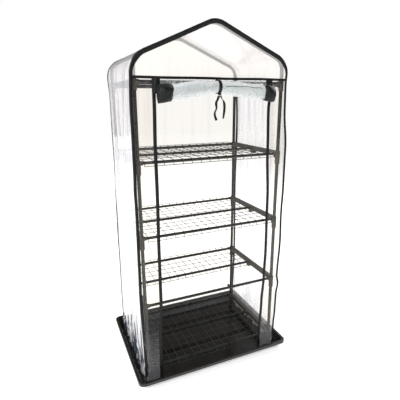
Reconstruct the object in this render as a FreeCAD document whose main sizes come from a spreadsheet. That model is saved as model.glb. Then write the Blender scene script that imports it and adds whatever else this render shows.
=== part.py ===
import FreeCAD, Part
import math
import os

import Sketcher
from FreeCAD import Placement, Rotation, Vector

# Four-tier greenhouse: a push-fit tube frame with wire shelves, standing in a
# moulded tray under a clear film cover with a roll-up door. Millimetres, +Z up,
# -Y is the door side. The origin is the middle of the tray's underside.

doc = FreeCAD.newDocument("greenhouse")
sheet = doc.addObject("Spreadsheet::Sheet", "Sizes")

SIZES = [
    # Frame: posts, shelf tubes and their heights
    ("post_span_wide", 670),
    ("post_span_deep", 430),
    ("post_dia", 16),
    ("shelf_tube_dia", 13),
    ("eave_bar_dia", 18),
    ("tube_wall", 0.8),
    ("fit_gap", 0.1),
    ("bottom_shelf_height", 64),
    ("shelf_pitch", 324),
    ("eave_rise", 311),
    # Side rails, the mouldings that join posts and tubes
    ("rail_wide", 20),
    ("rail_tall", 22),
    ("rail_wall", 3),
    ("rail_edge_round", 3),
    ("socket_wall", 3),
    ("boss_wall", 2.4),
    ("boss_long", 8),
    ("sleeve_drop", 48),
    ("web_drop", 14),
    ("web_thick", 3),
    ("gusset_reach", 30),
    ("gusset_thick", 8),
    ("knuckle_long", 26),
    ("knuckle_drop", 27),
    ("eave_sleeve_rise", 16),
    ("eave_sleeve_drop", 31),
    ("eave_web_drop", 5),
    ("eave_gusset_reach", 18),
    # Foot plugs
    ("foot_dia", 20),
    ("foot_base", 3),
    ("foot_spigot", 14),
    # Wire shelves
    ("wire_dia", 2.6),
    ("cross_pitch", 42),
    ("long_pitch", 45),
    ("grid_end_gap", 4),
    ("lip_gap", 3.5),
    ("lip_drop", 14),
    ("lip_bend", 5),
    ("rear_overhang", 11),
    # Roof arches
    ("shoulder_rise", 93),
    ("ridge_rise", 237),
    ("shoulder_bend", 55),
    ("ridge_bend", 85),
    # Tray
    ("tray_margin_wide", 63),
    ("tray_margin_deep", 77),
    ("tray_height", 45),
    ("tray_wall", 3),
    ("tray_lean", 22),
    ("tray_corner", 28),
    ("rim_flange", 10),
    ("rim_thick", 3),
    ("rim_lip_drop", 14),
    ("rim_round", 1.4),
    # Film cover
    ("cover_gap", 12),
    ("roof_gap", 1),
    ("cover_shoulder", 92),
    ("film_thick", 0.5),
    ("hem_height", 6),
    ("header_rise", 17),
    ("header_tall", 10),
    ("binding_wide", 9),
    ("binding_thick", 1.6),
    # Door zips
    ("zip_span", 538),
    ("zip_tape_wide", 14),
    ("zip_tape_thick", 1.2),
    ("slider_drop", 68),
    ("slider_wide", 8),
    ("slider_tall", 14),
    ("slider_deep", 5),
    ("slider_slot_gap", 0.4),
    ("slider_bridge", 2),
    ("slider_edge_gap", 1.2),
    ("ear_thick", 1.2),
    ("ear_dia", 5),
    ("ear_reach", 3.6),
    ("ear_sink", 0.5),
    ("pull_pin_dia", 2),
    ("pull_pin_gap", 0.06),
    ("pull_side_gap", 0.4),
    ("pull_eye_dia", 4.4),
    ("pull_long", 30),
    ("pull_thick", 1.6),
    # Rolled-up door and its tie
    ("roll_inset", 17),
    ("roll_end_long", 45),
    ("roll_mid_dia", 50),
    ("roll_end_dia", 60),
    ("roll_back_gap", 0.8),
    ("roll_mid_drop", 33),
    ("roll_end_drop", 61),
    ("door_tape_wide", 14),
    ("door_tape_inset", 5),
    ("door_film_drop", 62),
    ("tie_wide", 14),
    ("tie_thick", 1.2),
    ("tie_gap", 0.024),
    ("knot_dia", 12),
    ("knot_angle", 60),
    ("ribbon_dia", 5),
    # Ties round two of the posts
    ("post_tie_tall", 8),
    ("post_tie_thick", 2),
    ("post_tie_knot_dia", 7),
    ("post_tie_knot_long", 7),
    ("post_tie_front_rise", 38),
    ("post_tie_rear_rise", 64),
]

for row, (alias, size) in enumerate(SIZES, start=1):
    sheet.set(f"A{row}", alias)
    sheet.set(f"B{row}", str(size))
    sheet.setAlias(f"B{row}", alias)
doc.recompute()

SHELVES = ("bottom", "lower", "upper", "top")
SIDES = {"left": -1, "right": 1}
ENDS = {"front": -1, "rear": 1}
PAST = 2  # how far a cutting tool runs past the face it opens
SKETCH_START = (300.0, 200.0, 20.0)  # drawn half sizes and corner, before constraints
CORD_BEND = 0.45  # share of the shorter run that each bend of a cord takes
CORD_ERROR = 0.02  # most that a cord's volume may differ from its section times its length

nodes = {}


def size(alias):
    """The sheet's value for an alias, for shapes made by Part's own functions."""
    return float(sheet.get(alias))


def level(shelf):
    """The height of a shelf's tubes, or of the eave, as an expression."""
    if shelf == "eave":
        return "(Sizes.bottom_shelf_height + 3 * Sizes.shelf_pitch + Sizes.eave_rise)"
    return f"(Sizes.bottom_shelf_height + {SHELVES.index(shelf)} * Sizes.shelf_pitch)"


def level_size(shelf):
    """The same height as a number."""
    if shelf == "eave":
        return size("bottom_shelf_height") + 3 * size("shelf_pitch") + size("eave_rise")
    return size("bottom_shelf_height") + SHELVES.index(shelf) * size("shelf_pitch")


# Expressions that several pieces share
POST_X = "(Sizes.post_span_wide / 2)"
POST_Y = "(Sizes.post_span_deep / 2)"
SLEEVE = "(Sizes.post_dia / 2 + Sizes.fit_gap + Sizes.socket_wall)"
COVER_X = "(Sizes.post_span_wide / 2 + Sizes.post_dia / 2 + Sizes.cover_gap)"
COVER_Y = "(Sizes.post_span_deep / 2 + Sizes.post_dia / 2 + Sizes.cover_gap)"
ZIP_X = "(Sizes.zip_span / 2)"
HEADER = f"({level('eave')} + Sizes.header_rise)"
TRAY_WIDE = "(Sizes.post_span_wide + 2 * Sizes.tray_margin_wide)"
TRAY_DEEP = "(Sizes.post_span_deep + 2 * Sizes.tray_margin_deep)"


def place(item, at, turn=None):
    """Bind an object's place to expressions, and turn it by a fixed rotation."""
    if turn:
        item.Placement = Placement(Vector(), turn)
    for axis, expression in zip("xyz", at):
        item.setExpression(f"Placement.Base.{axis}", str(expression))
    return item


def box(name, sizes, at):
    """A block from its lowest corner."""
    item = doc.addObject("Part::Box", name)
    for prop, expression in zip(("Length", "Width", "Height"), sizes):
        item.setExpression(prop, str(expression))
    return place(item, at)


def rod(name, radius, length, at, along="z"):
    """A solid cylinder from the middle of one end, along an axis."""
    turns = {"z": None, "x": Rotation(Vector(0, 1, 0), 90), "y": Rotation(Vector(1, 0, 0), -90)}
    item = doc.addObject("Part::Cylinder", name)
    item.setExpression("Radius", str(radius))
    item.setExpression("Height", str(length))
    return place(item, at, turns[along])


def fuse(name, shapes):
    item = doc.addObject("Part::MultiFuse", name)
    item.Shapes = shapes
    item.Refine = True
    return item


def cut(name, base, tools):
    item = doc.addObject("Part::Cut", name)
    item.Base = base
    item.Tool = tools[0] if len(tools) == 1 else fuse(name + "_tools", tools)
    return item


def tube(name, dia, length, at, along="z"):
    """A round tube with the frame's wall."""
    outer = rod(name + "_outer", f"{dia} / 2", length, at, along)
    inner = rod(name + "_inner", f"{dia} / 2 - Sizes.tube_wall", length, at, along)
    return cut(name, outer, [inner])


def group(name, items, at=(0, 0, 0), turn=None):
    """One or more solids under one placement."""
    item = doc.addObject("Part::Compound", name)
    item.Links = items
    return place(item, at, turn)


def shaped(name, shape):
    """A Part::Feature that holds a shape made by Part's own functions."""
    item = doc.addObject("Part::Feature", name)
    item.Shape = shape
    return item


def node(label, item):
    """Name a sub-part: its Label is its file's name."""
    item.Label = label
    nodes[label] = item
    return item


def half_turn(side):
    """Side rails are modelled for the right and turned round for the left."""
    return Rotation(Vector(0, 0, 1), 180) if side == "left" else None


# ---------------------------------------------------------------- side rails


def rail_form(name, rise, drop, web_drop, reach, bar_dia, middle):
    """A moulded rail between a front and a rear post: a beam with a sleeve on each
    end, gussets, and bosses on the inner face (-X) that the cross tubes plug into."""
    beam = box(
        name + "_beam",
        ("Sizes.rail_wide", "Sizes.post_span_deep", "Sizes.rail_tall"),
        ("-Sizes.rail_wide / 2", f"-{POST_Y}", "-Sizes.rail_tall / 2"),
    )
    doc.recompute()
    rounded = doc.addObject("Part::Fillet", name + "_rounded")
    rounded.Base = beam
    long_edges = [
        i + 1
        for i, e in enumerate(beam.Shape.Edges)
        if abs(e.tangentAt(e.FirstParameter).y) > 0.99
    ]
    radius = size("rail_edge_round")
    rounded.Edges = [(i, radius, radius) for i in long_edges]

    boss = f"({bar_dia} / 2 + Sizes.fit_gap + Sizes.boss_wall)"
    socket = f"({bar_dia} / 2 + Sizes.fit_gap)"
    bore = "(Sizes.post_dia / 2 + Sizes.fit_gap)"
    solids, tools = [rounded], []
    for end, way in ENDS.items():
        y = f"{way} * {POST_Y}"
        tag = f"{name}_{end}"
        solids.append(rod(tag + "_sleeve", SLEEVE, f"{rise} + {drop}", (0, y, f"-{drop}")))
        blank = box(
            tag + "_gusset_blank",
            ("Sizes.gusset_thick", f"{reach} + Sizes.socket_wall", reach),
            (
                "-Sizes.gusset_thick / 2",
                f"{y} + ({SLEEVE} - Sizes.socket_wall)" if way < 0
                else f"{y} - ({SLEEVE} + {reach})",
                f"-Sizes.rail_tall / 2 - {reach}",
            ),
        )
        hollow = rod(
            tag + "_gusset_hollow",
            reach,
            "Sizes.gusset_thick * 2",
            ("-Sizes.gusset_thick", f"{y} - {way} * ({SLEEVE} + {reach})",
             f"-Sizes.rail_tall / 2 - {reach}"),
            "x",
        )
        solids.append(cut(tag + "_gusset", blank, [hollow]))
        tools.append(rod(tag + "_bore_low", bore, f"{drop} - {web_drop} - Sizes.web_thick + {PAST}",
                         (0, y, f"-{drop} - {PAST}")))
        tools.append(rod(tag + "_bore_high", bore, f"{rise} + {web_drop} + {PAST}",
                         (0, y, f"-{web_drop}")))
    rows = [f"-{POST_Y}", POST_Y] + (["0"] if middle else [])
    for i, y in enumerate(rows):
        solids.append(rod(f"{name}_boss_{i}", boss, f"{SLEEVE} + Sizes.boss_long",
                          (f"-{SLEEVE} - Sizes.boss_long", y, 0), "x"))
        tools.append(rod(f"{name}_socket_{i}", socket, f"Sizes.boss_long + {PAST}",
                         (f"-{SLEEVE} - Sizes.boss_long - {PAST}", y, 0), "x"))
    if middle:
        solids.append(rod(name + "_knuckle", "Sizes.knuckle_long / 2", "Sizes.rail_wide",
                          ("-Sizes.rail_wide / 2", 0,
                           "Sizes.knuckle_long / 2 - Sizes.knuckle_drop"), "x"))
    inner_end = f"({POST_Y} - {SLEEVE} - {reach} - Sizes.rail_wall)"
    middle_end = "(Sizes.knuckle_long / 2 + Sizes.rail_wall)"
    for end, way in ENDS.items():
        low = f"-{inner_end}" if way < 0 else middle_end
        tools.append(box(
            f"{name}_{end}_channel",
            ("Sizes.rail_wide - 2 * Sizes.rail_wall", f"{inner_end} - {middle_end}",
             f"Sizes.rail_tall - Sizes.rail_wall + {PAST}"),
            ("Sizes.rail_wall - Sizes.rail_wide / 2", low, f"-Sizes.rail_tall / 2 - {PAST}"),
        ))
    return cut(name, fuse(name + "_solid", solids), tools)


shelf_rail = rail_form(
    "shelf_rail", "(Sizes.rail_tall / 2)", "Sizes.sleeve_drop", "Sizes.web_drop",
    "Sizes.gusset_reach", "Sizes.shelf_tube_dia", middle=True,
)
eave_rail = rail_form(
    "eave_rail", "Sizes.eave_sleeve_rise", "Sizes.eave_sleeve_drop", "Sizes.eave_web_drop",
    "Sizes.eave_gusset_reach", "Sizes.eave_bar_dia", middle=False,
)
for side, sign in SIDES.items():
    for shelf in SHELVES + ("eave",):
        form = eave_rail if shelf == "eave" else shelf_rail
        rail = group(f"rail_{side}_{shelf}", [form], (f"{sign} * {POST_X}", 0, level(shelf)),
                     half_turn(side))
        node(f"side_rail_{side}_{shelf}", rail)

# ---------------------------------------------------------------- shelf tubes and eave bars

CROSS_LONG = f"Sizes.post_span_wide - 2 * {SLEEVE}"
cross_tube = tube("cross_tube", "Sizes.shelf_tube_dia", CROSS_LONG,
                  (f"-({CROSS_LONG}) / 2", 0, 0), "x")
for shelf in SHELVES:
    for row, y in (("front", f"-{POST_Y}"), ("middle", "0"), ("rear", POST_Y)):
        node(f"shelf_tube_{shelf}_{row}",
             group(f"tube_{shelf}_{row}", [cross_tube], (0, y, level(shelf))))

eave_tube = tube("eave_tube", "Sizes.eave_bar_dia", CROSS_LONG,
                 (f"-({CROSS_LONG}) / 2", 0, 0), "x")
for end, way in ENDS.items():
    node(f"eave_bar_{end}", group(f"eave_{end}", [eave_tube], (0, f"{way} * {POST_Y}", level("eave"))))

# ---------------------------------------------------------------- posts and foot plugs

FOOT_LOW = "(Sizes.tray_wall + Sizes.foot_base)"
segments = [tube(
    "post_foot", "Sizes.post_dia",
    f"{level('bottom')} - Sizes.web_drop - Sizes.web_thick - {FOOT_LOW}", (0, 0, FOOT_LOW),
)]
for lower in SHELVES[:-1]:
    segments.append(tube(
        f"post_{lower}", "Sizes.post_dia", "Sizes.shelf_pitch - Sizes.web_thick",
        (0, 0, f"{level(lower)} - Sizes.web_drop"),
    ))
segments.append(tube(
    "post_top", "Sizes.post_dia",
    "Sizes.eave_rise + Sizes.web_drop - Sizes.eave_web_drop - Sizes.web_thick",
    (0, 0, f"{level('top')} - Sizes.web_drop"),
))
post_form = group("post_form", segments)

foot_form = fuse("foot_form", [
    rod("foot_disc", "Sizes.foot_dia / 2", "Sizes.foot_base", (0, 0, "Sizes.tray_wall")),
    rod("foot_plug", "Sizes.post_dia / 2 - Sizes.tube_wall - Sizes.fit_gap",
        "Sizes.foot_base + Sizes.foot_spigot", (0, 0, "Sizes.tray_wall")),
])
feet = []
for end, way in ENDS.items():
    for side, sign in SIDES.items():
        corner = (f"{sign} * {POST_X}", f"{way} * {POST_Y}", 0)
        node(f"post_{end}_{side}", group(f"post_at_{end}_{side}", [post_form], corner))
        feet.append(group(f"foot_at_{end}_{side}", [foot_form], corner))
node("foot_plugs", group("feet", feet))

# ---------------------------------------------------------------- roof arches


def rounded_path(points, radii):
    """Straight runs through points joined by tangent arcs of the given radii."""
    edges, start = [], points[0]
    for before, corner, after, radius in zip(points, points[1:], points[2:], radii):
        back = (before - corner).normalize()
        ahead = (after - corner).normalize()
        half_turn_angle = (math.pi - back.getAngle(ahead)) / 2
        reach = radius * math.tan(half_turn_angle)
        first, last = corner + back * reach, corner + ahead * reach
        to_middle = (back + ahead).normalize()
        centre = corner + to_middle * (radius / math.cos(half_turn_angle))
        edges.append(Part.makeLine(start, first))
        edges.append(Part.Arc(first, centre - to_middle * radius, last).toShape())
        start = last
    edges.append(Part.makeLine(start, points[-1]))
    return Part.Wire(edges)


def swept(path, radius):
    """A round bar along a path."""
    edge = path.Edges[0]
    start, along = edge.valueAt(edge.FirstParameter), edge.tangentAt(edge.FirstParameter)
    section = Part.Wire([Part.makeCircle(radius, start, along)])
    return path.makePipeShell([section], True, True)


half_wide = size("post_span_wide") / 2
roof_slope = math.atan2(size("ridge_rise") - size("shoulder_rise"), half_wide)
arch_low = -size("eave_web_drop")
arch_path = rounded_path(
    [
        Vector(-half_wide, 0, arch_low),
        Vector(-half_wide, 0, size("shoulder_rise")),
        Vector(0, 0, size("ridge_rise")),
        Vector(half_wide, 0, size("shoulder_rise")),
        Vector(half_wide, 0, arch_low),
    ],
    [size("shoulder_bend"), size("ridge_bend"), size("shoulder_bend")],
)
post_radius = size("post_dia") / 2
arch_form = shaped(
    "arch_form",
    swept(arch_path, post_radius).cut(swept(arch_path, post_radius - size("tube_wall"))),
)
for end, way in ENDS.items():
    node(f"roof_arch_{end}", group(f"arch_{end}", [arch_form], (0, f"{way} * {POST_Y}", level("eave"))))

# ---------------------------------------------------------------- wire shelves


def wire(points, radii=()):
    path = rounded_path(points, radii) if radii else Part.Wire([Part.makeLine(*points)])
    return swept(path, size("wire_dia") / 2)


def wire_grid(front_tube_y):
    """A grid of spot-welded wires, one solid each, that lies on the tubes, with its front
    edge turned down over the tube at front_tube_y. Heights are from the tubes' axes."""
    tube_radius, wire_radius = size("shelf_tube_dia") / 2, size("wire_dia") / 2
    cross_z = tube_radius + wire_radius
    long_z = cross_z + 2 * wire_radius
    lip_y = front_tube_y - tube_radius - wire_radius - size("lip_gap")
    rear_y = size("post_span_deep") / 2 + size("rear_overhang")
    sleeve = post_radius + size("fit_gap") + size("socket_wall")
    end_x = half_wide - sleeve - size("boss_long") - size("grid_end_gap") - wire_radius
    gaps = max(2, round(2 * end_x / size("cross_pitch")))
    wires = []
    for i in range(gaps + 1):
        x = -end_x + 2 * end_x * i / gaps
        wires.append(wire(
            [Vector(x, rear_y, cross_z), Vector(x, lip_y, cross_z), Vector(x, lip_y, -size("lip_drop"))],
            [size("lip_bend")],
        ))
    rows = max(1, round((rear_y - lip_y) / size("long_pitch")))
    for i in range(rows):
        y = rear_y - (rear_y - lip_y) * i / rows
        wires.append(wire([Vector(-end_x, y, long_z), Vector(end_x, y, long_z)]))
    edge_y = lip_y - 2 * wire_radius
    edge_z = wire_radius - size("lip_drop")
    wires.append(wire([Vector(-end_x, edge_y, edge_z), Vector(end_x, edge_y, edge_z)]))
    return Part.makeCompound(wires)


full_grid = shaped("full_grid", wire_grid(-size("post_span_deep") / 2))
half_grid = shaped("half_grid", wire_grid(0))
for shelf in SHELVES:
    form = half_grid if shelf == "lower" else full_grid
    node(f"wire_shelf_{shelf}", group(f"grid_{shelf}", [form], (0, 0, level(shelf))))

# ---------------------------------------------------------------- tray


def rounded_rectangle(sketch, wide, deep, corner):
    """Draw a rounded rectangle round the origin and bind its sizes to expressions."""
    first = len(sketch.Geometry)
    w, d, r = SKETCH_START
    z_axis = Vector(0, 0, 1)
    for a, b in (
        ((-w + r, -d), (w - r, -d)), ((w, -d + r), (w, d - r)),
        ((w - r, d), (-w + r, d)), ((-w, d - r), (-w, -d + r)),
    ):
        sketch.addGeometry(Part.LineSegment(Vector(*a, 0), Vector(*b, 0)), False)
    for i, (x, y) in enumerate(((w - r, -d + r), (w - r, d - r), (-w + r, d - r), (-w + r, -d + r))):
        circle = Part.Circle(Vector(x, y, 0), z_axis, r)
        start = math.pi / 2 * (i - 1)
        sketch.addGeometry(Part.ArcOfCircle(circle, start, start + math.pi / 2), False)

    def add(*rule):
        return sketch.addConstraint(Sketcher.Constraint(*rule))

    for i in range(4):
        line, arc, after = first + i, first + 4 + i, first + (i + 1) % 4
        add("Tangent", line, 2, arc, 1)
        add("Tangent", arc, 2, after, 1)
        add("Horizontal" if i % 2 == 0 else "Vertical", line)
    for i in range(1, 4):
        add("Equal", first + 4, first + 4 + i)
    add("Symmetric", first + 4, 3, first + 6, 3, -1, 1)
    bound = (
        (("Radius", first + 4, r), corner),
        (("DistanceX", first + 3, 1, first + 1, 1, 2 * w), wide),
        (("DistanceY", first + 0, 1, first + 2, 1, 2 * d), deep),
    )
    for rule, expression in bound:
        sketch.setExpression(f"Constraints[{add(*rule)}]", expression)


def flat_sketch(body, name, z="0"):
    """A sketch parallel to the body's own XY plane, at a height."""
    sketch = body.newObject("Sketcher::SketchObject", name)
    plane = next(o for o in body.Origin.OriginFeatures if o.Role == "XY_Plane")
    sketch.AttachmentSupport = [(plane, "")]
    sketch.MapMode = "FlatFace"
    sketch.setExpression("AttachmentOffset.Base.z", z)
    return sketch


def tray_outline(name, inset, z):
    """The tray's outline, drawn in by inset, at a height."""
    sketch = flat_sketch(tray, name, z)
    rounded_rectangle(
        sketch, f"{TRAY_WIDE} - 2 * ({inset})", f"{TRAY_DEEP} - 2 * ({inset})",
        f"max(Sizes.tray_corner - ({inset}); 1)",
    )
    return sketch


def loft(kind, name, sections):
    item = tray.newObject(kind, name)
    item.Profile = sections[0]
    item.Sections = sections[1:]
    item.Ruled = True
    return item


tray = doc.addObject("PartDesign::Body", "tray_body")
loft("PartDesign::AdditiveLoft", "tray_outside", [
    tray_outline("tray_foot", "Sizes.rim_flange + Sizes.tray_lean", "0"),
    tray_outline("tray_brim", "Sizes.rim_flange", "Sizes.tray_height"),
])
doc.recompute()
rim = tray_outline("rim_outline", "0", "Sizes.tray_height")
rim_pad = tray.newObject("PartDesign::Pad", "rim")
rim_pad.Profile = rim
rim_pad.Reversed = True
rim_pad.setExpression("Length", "Sizes.rim_thick")
doc.recompute()
lip = tray_outline("lip_outline", "0", "Sizes.tray_height")
rounded_rectangle(
    lip, f"{TRAY_WIDE} - 2 * Sizes.rim_thick", f"{TRAY_DEEP} - 2 * Sizes.rim_thick",
    "Sizes.tray_corner - Sizes.rim_thick",
)
lip_pad = tray.newObject("PartDesign::Pad", "rim_lip")
lip_pad.Profile = lip
lip_pad.Reversed = True
lip_pad.setExpression("Length", "Sizes.rim_lip_drop")
doc.recompute()
loft("PartDesign::SubtractiveLoft", "tray_inside", [
    tray_outline("floor_outline", "Sizes.rim_flange + Sizes.tray_lean + Sizes.tray_wall",
                 "Sizes.tray_wall"),
    tray_outline("mouth_outline", "Sizes.rim_flange + Sizes.tray_wall", "Sizes.tray_height"),
])
doc.recompute()
top_z = size("tray_height")
half_depth = size("post_span_deep") / 2 + size("tray_margin_deep")
rim_edges = [
    f"Edge{i + 1}"
    for i, e in enumerate(tray.Shape.Edges)
    if abs(e.BoundBox.ZMin - top_z) < 1e-3 and abs(e.BoundBox.ZMax - top_z) < 1e-3
    and abs(e.BoundBox.YMin + half_depth) < 1e-3
]
brim = tray.Tip
rim_fillet = tray.newObject("PartDesign::Fillet", "rim_fillet")
rim_fillet.Base = (brim, rim_edges[:1])
rim_fillet.setExpression("Radius", "Sizes.rim_round")
node("tray", tray)

# ---------------------------------------------------------------- film cover

FILM_FRONT = f"(-{COVER_Y} - Sizes.film_thick)"
HEADER_LOW = f"({HEADER} - Sizes.header_tall / 2)"
HEADER_HIGH = f"({HEADER} + Sizes.header_tall / 2)"
WALL_TALL = f"({HEADER_HIGH} - Sizes.hem_height)"

for side, x in (("left", f"-{COVER_X} - Sizes.film_thick"), ("right", COVER_X)):
    node(f"cover_wall_{side}", box(
        f"wall_{side}", ("Sizes.film_thick", f"2 * {COVER_Y}", WALL_TALL),
        (x, f"-{COVER_Y}", "Sizes.hem_height"),
    ))

cover_x = half_wide + post_radius + size("cover_gap")
cover_y = size("post_span_deep") / 2 + post_radius + size("cover_gap")
film = size("film_thick")
eave_z = level_size("eave")
header_z = eave_z + size("header_rise")
header_high = header_z + size("header_tall") / 2


def roof_line(out, low_z, only_right=False):
    """The cover's section over the arches, moved outwards by out, from low_z up."""
    lift = (post_radius + size("roof_gap") + out) / math.cos(roof_slope)
    peak = eave_z + size("ridge_rise") + lift
    side_x = cover_x + out
    corner_z = peak - side_x * math.tan(roof_slope)
    shoulder = size("cover_shoulder") + out
    ridge = size("ridge_bend") + post_radius + size("roof_gap") + out
    points = [
        Vector(-side_x, 0, low_z), Vector(-side_x, 0, corner_z), Vector(0, 0, peak),
        Vector(side_x, 0, corner_z), Vector(side_x, 0, low_z),
    ]
    return rounded_path(points, [shoulder, ridge, shoulder])


def plate(outer, inner, y, thick):
    """The flat region between two roof lines, or under one, made thick along Y."""
    start = outer.OrderedVertexes[0].Point
    end = outer.OrderedVertexes[-1].Point
    if inner is None:
        edges = outer.Edges + [Part.makeLine(end, start)]
    else:
        back_start = inner.OrderedVertexes[0].Point
        back_end = inner.OrderedVertexes[-1].Point
        edges = outer.Edges + [Part.makeLine(end, back_end)] + inner.Edges
        edges.append(Part.makeLine(back_start, start))
    outline = Part.Wire(Part.__sortEdges__(edges))
    solid = Part.Face(outline).extrude(Vector(0, thick, 0))
    solid.translate(Vector(0, y, 0))
    return solid


roof = plate(roof_line(film, header_high), roof_line(0, header_high), -cover_y, 2 * cover_y)
half_space = Part.makeBox(2 * cover_x, 4 * cover_y, 4 * eave_z, Vector(0, -2 * cover_y, 0))
node("cover_roof_right", shaped("roof_right", roof.common(half_space)))
node("cover_roof_left", shaped("roof_left", roof.cut(half_space)))
node("cover_back", shaped("back", plate(roof_line(film, size("hem_height")), None, cover_y, film)))
node("cover_gable_front", shaped("gable", plate(roof_line(film, header_high), None, -cover_y - film, film)))

binding_thick = size("binding_thick")
bindings = []
for end, way in ENDS.items():
    band = plate(
        roof_line(film, size("hem_height")),
        roof_line(film - size("binding_wide"), size("hem_height")),
        cover_y + film if way > 0 else -cover_y - film - binding_thick, binding_thick,
    )
    bindings.append(shaped(f"binding_{end}", band))
node("cover_binding", group("bindings", bindings))

HEADER_END = f"({COVER_X} + Sizes.film_thick - Sizes.binding_wide)"
node("door_header", box(
    "header", (f"2 * {HEADER_END}", "Sizes.binding_thick", "Sizes.header_tall"),
    (f"-{HEADER_END}", f"{FILM_FRONT} - Sizes.binding_thick", HEADER_LOW),
))

STRIP_X = f"({ZIP_X} + Sizes.zip_tape_wide / 2)"
STRIP_WIDE = f"({COVER_X} + Sizes.film_thick - {STRIP_X})"
for side, x in (("left", f"-({COVER_X} + Sizes.film_thick)"), ("right", STRIP_X)):
    node(f"cover_front_{side}", box(
        f"strip_{side}", (STRIP_WIDE, "Sizes.film_thick", WALL_TALL),
        (x, FILM_FRONT, "Sizes.hem_height"),
    ))

# ---------------------------------------------------------------- door zips

TAPE_MIDDLE = f"({FILM_FRONT} + Sizes.film_thick / 2)"
for side, sign in SIDES.items():
    node(f"zip_tape_{side}", box(
        f"tape_{side}",
        ("Sizes.zip_tape_wide", "Sizes.zip_tape_thick", f"{HEADER_LOW} - Sizes.hem_height"),
        (f"{sign} * {ZIP_X} - Sizes.zip_tape_wide / 2", f"{TAPE_MIDDLE} - Sizes.zip_tape_thick / 2",
         "Sizes.hem_height"),
    ))

SLIDER_EDGE = "(Sizes.zip_tape_wide / 2 + Sizes.slider_edge_gap + Sizes.slider_bridge)"
SLOT = "(Sizes.zip_tape_thick + 2 * Sizes.slider_slot_gap)"
PIN_Y = "(-Sizes.slider_deep / 2 - Sizes.ear_reach)"
EYE_WIDE = "(Sizes.slider_wide - 2 * Sizes.ear_thick - 2 * Sizes.pull_side_gap)"

# The slider is modelled for the right zip, with the tape's middle at the origin: the
# tape's toothed edge is towards -X, and the pull hangs from a pin in front.
clip = box("slider_block", ("Sizes.slider_wide", "Sizes.slider_deep", "Sizes.slider_tall"),
           (f"-{SLIDER_EDGE}", "-Sizes.slider_deep / 2", "-Sizes.slider_tall / 2"))
slot = box("slider_slot", ("Sizes.slider_wide", SLOT, f"Sizes.slider_tall + 2 * {PAST}"),
           (f"-{SLIDER_EDGE} + Sizes.slider_bridge", f"-{SLOT} / 2", f"-Sizes.slider_tall / 2 - {PAST}"))
ears = []
for tag, offset in (("inner", "0"), ("outer", "Sizes.slider_wide - Sizes.ear_thick")):
    ear_x = f"-{SLIDER_EDGE} + {offset}"
    ears.append(rod(f"ear_{tag}", "Sizes.ear_dia / 2", "Sizes.ear_thick", (ear_x, PIN_Y, 0), "x"))
    ears.append(box(
        f"ear_{tag}_root",
        ("Sizes.ear_thick", "Sizes.ear_reach + Sizes.ear_sink", "Sizes.ear_dia"),
        (ear_x, PIN_Y, "-Sizes.ear_dia / 2"),
    ))
pin = rod("slider_pin", "Sizes.pull_pin_dia / 2", "Sizes.slider_wide",
          (f"-{SLIDER_EDGE}", PIN_Y, 0), "x")
slider_form = fuse("slider_form", [cut("slider_clip", clip, [slot])] + ears + [pin])

eye = rod("pull_eye", "Sizes.pull_eye_dia / 2", EYE_WIDE,
          (f"-{SLIDER_EDGE} + Sizes.ear_thick + Sizes.pull_side_gap", PIN_Y, 0), "x")
tab = box("pull_tab", (EYE_WIDE, "Sizes.pull_thick", "Sizes.pull_long"),
          (f"-{SLIDER_EDGE} + Sizes.ear_thick + Sizes.pull_side_gap",
           f"{PIN_Y} - Sizes.pull_thick / 2", "-Sizes.pull_long"))
hole = rod("pull_hole", "Sizes.pull_pin_dia / 2 + Sizes.pull_pin_gap", "Sizes.slider_wide",
           (f"-{SLIDER_EDGE}", PIN_Y, 0), "x")
pull_form = cut("pull_form", fuse("pull_solid", [eye, tab]), [hole])

# The left slider is the right one mirrored, so that its pull also faces the front.
for form, name in ((slider_form, "zip_slider"), (pull_form, "zip_pull")):
    mirror = doc.addObject("Part::Mirroring", name + "_mirrored")
    mirror.Source = form
    mirror.Normal = Vector(1, 0, 0)
    for side, sign in SIDES.items():
        node(f"{name}_{side}", group(
            f"{name}_at_{side}", [form if side == "right" else mirror],
            (f"{sign} * {ZIP_X}", TAPE_MIDDLE, f"{HEADER} - Sizes.slider_drop"),
        ))

# ---------------------------------------------------------------- rolled-up door

DOOR_HALF = f"({ZIP_X} - Sizes.zip_tape_wide / 2 - Sizes.door_tape_inset)"
DOOR_BACK = f"({FILM_FRONT} - Sizes.zip_tape_thick)"
DOOR_LOW = f"({HEADER} - Sizes.door_film_drop)"
DOOR_TALL = f"({HEADER_LOW} - {DOOR_LOW})"
node("door_film", box(
    "hanging_film", (f"2 * ({DOOR_HALF} - Sizes.door_tape_wide)", "Sizes.film_thick", DOOR_TALL),
    (f"-({DOOR_HALF} - Sizes.door_tape_wide)", DOOR_BACK, DOOR_LOW),
))
door_tapes = [
    box(f"door_tape_{side}", ("Sizes.door_tape_wide", "Sizes.zip_tape_thick", DOOR_TALL),
        (x, DOOR_BACK, DOOR_LOW))
    for side, x in (("left", f"-{DOOR_HALF}"), ("right", f"{DOOR_HALF} - Sizes.door_tape_wide"))
]
node("door_tapes", group("tapes", door_tapes))

end_radius = size("roll_end_dia") / 2
roll_half = size("zip_span") / 2 - size("roll_inset")
tie_half = size("tie_wide") / 2
mid_radius = size("roll_mid_dia") / 2
roll_drop = size("roll_end_drop") - size("roll_mid_drop")
cone_long = math.hypot(roll_half, roll_drop) - size("roll_end_long")
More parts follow.
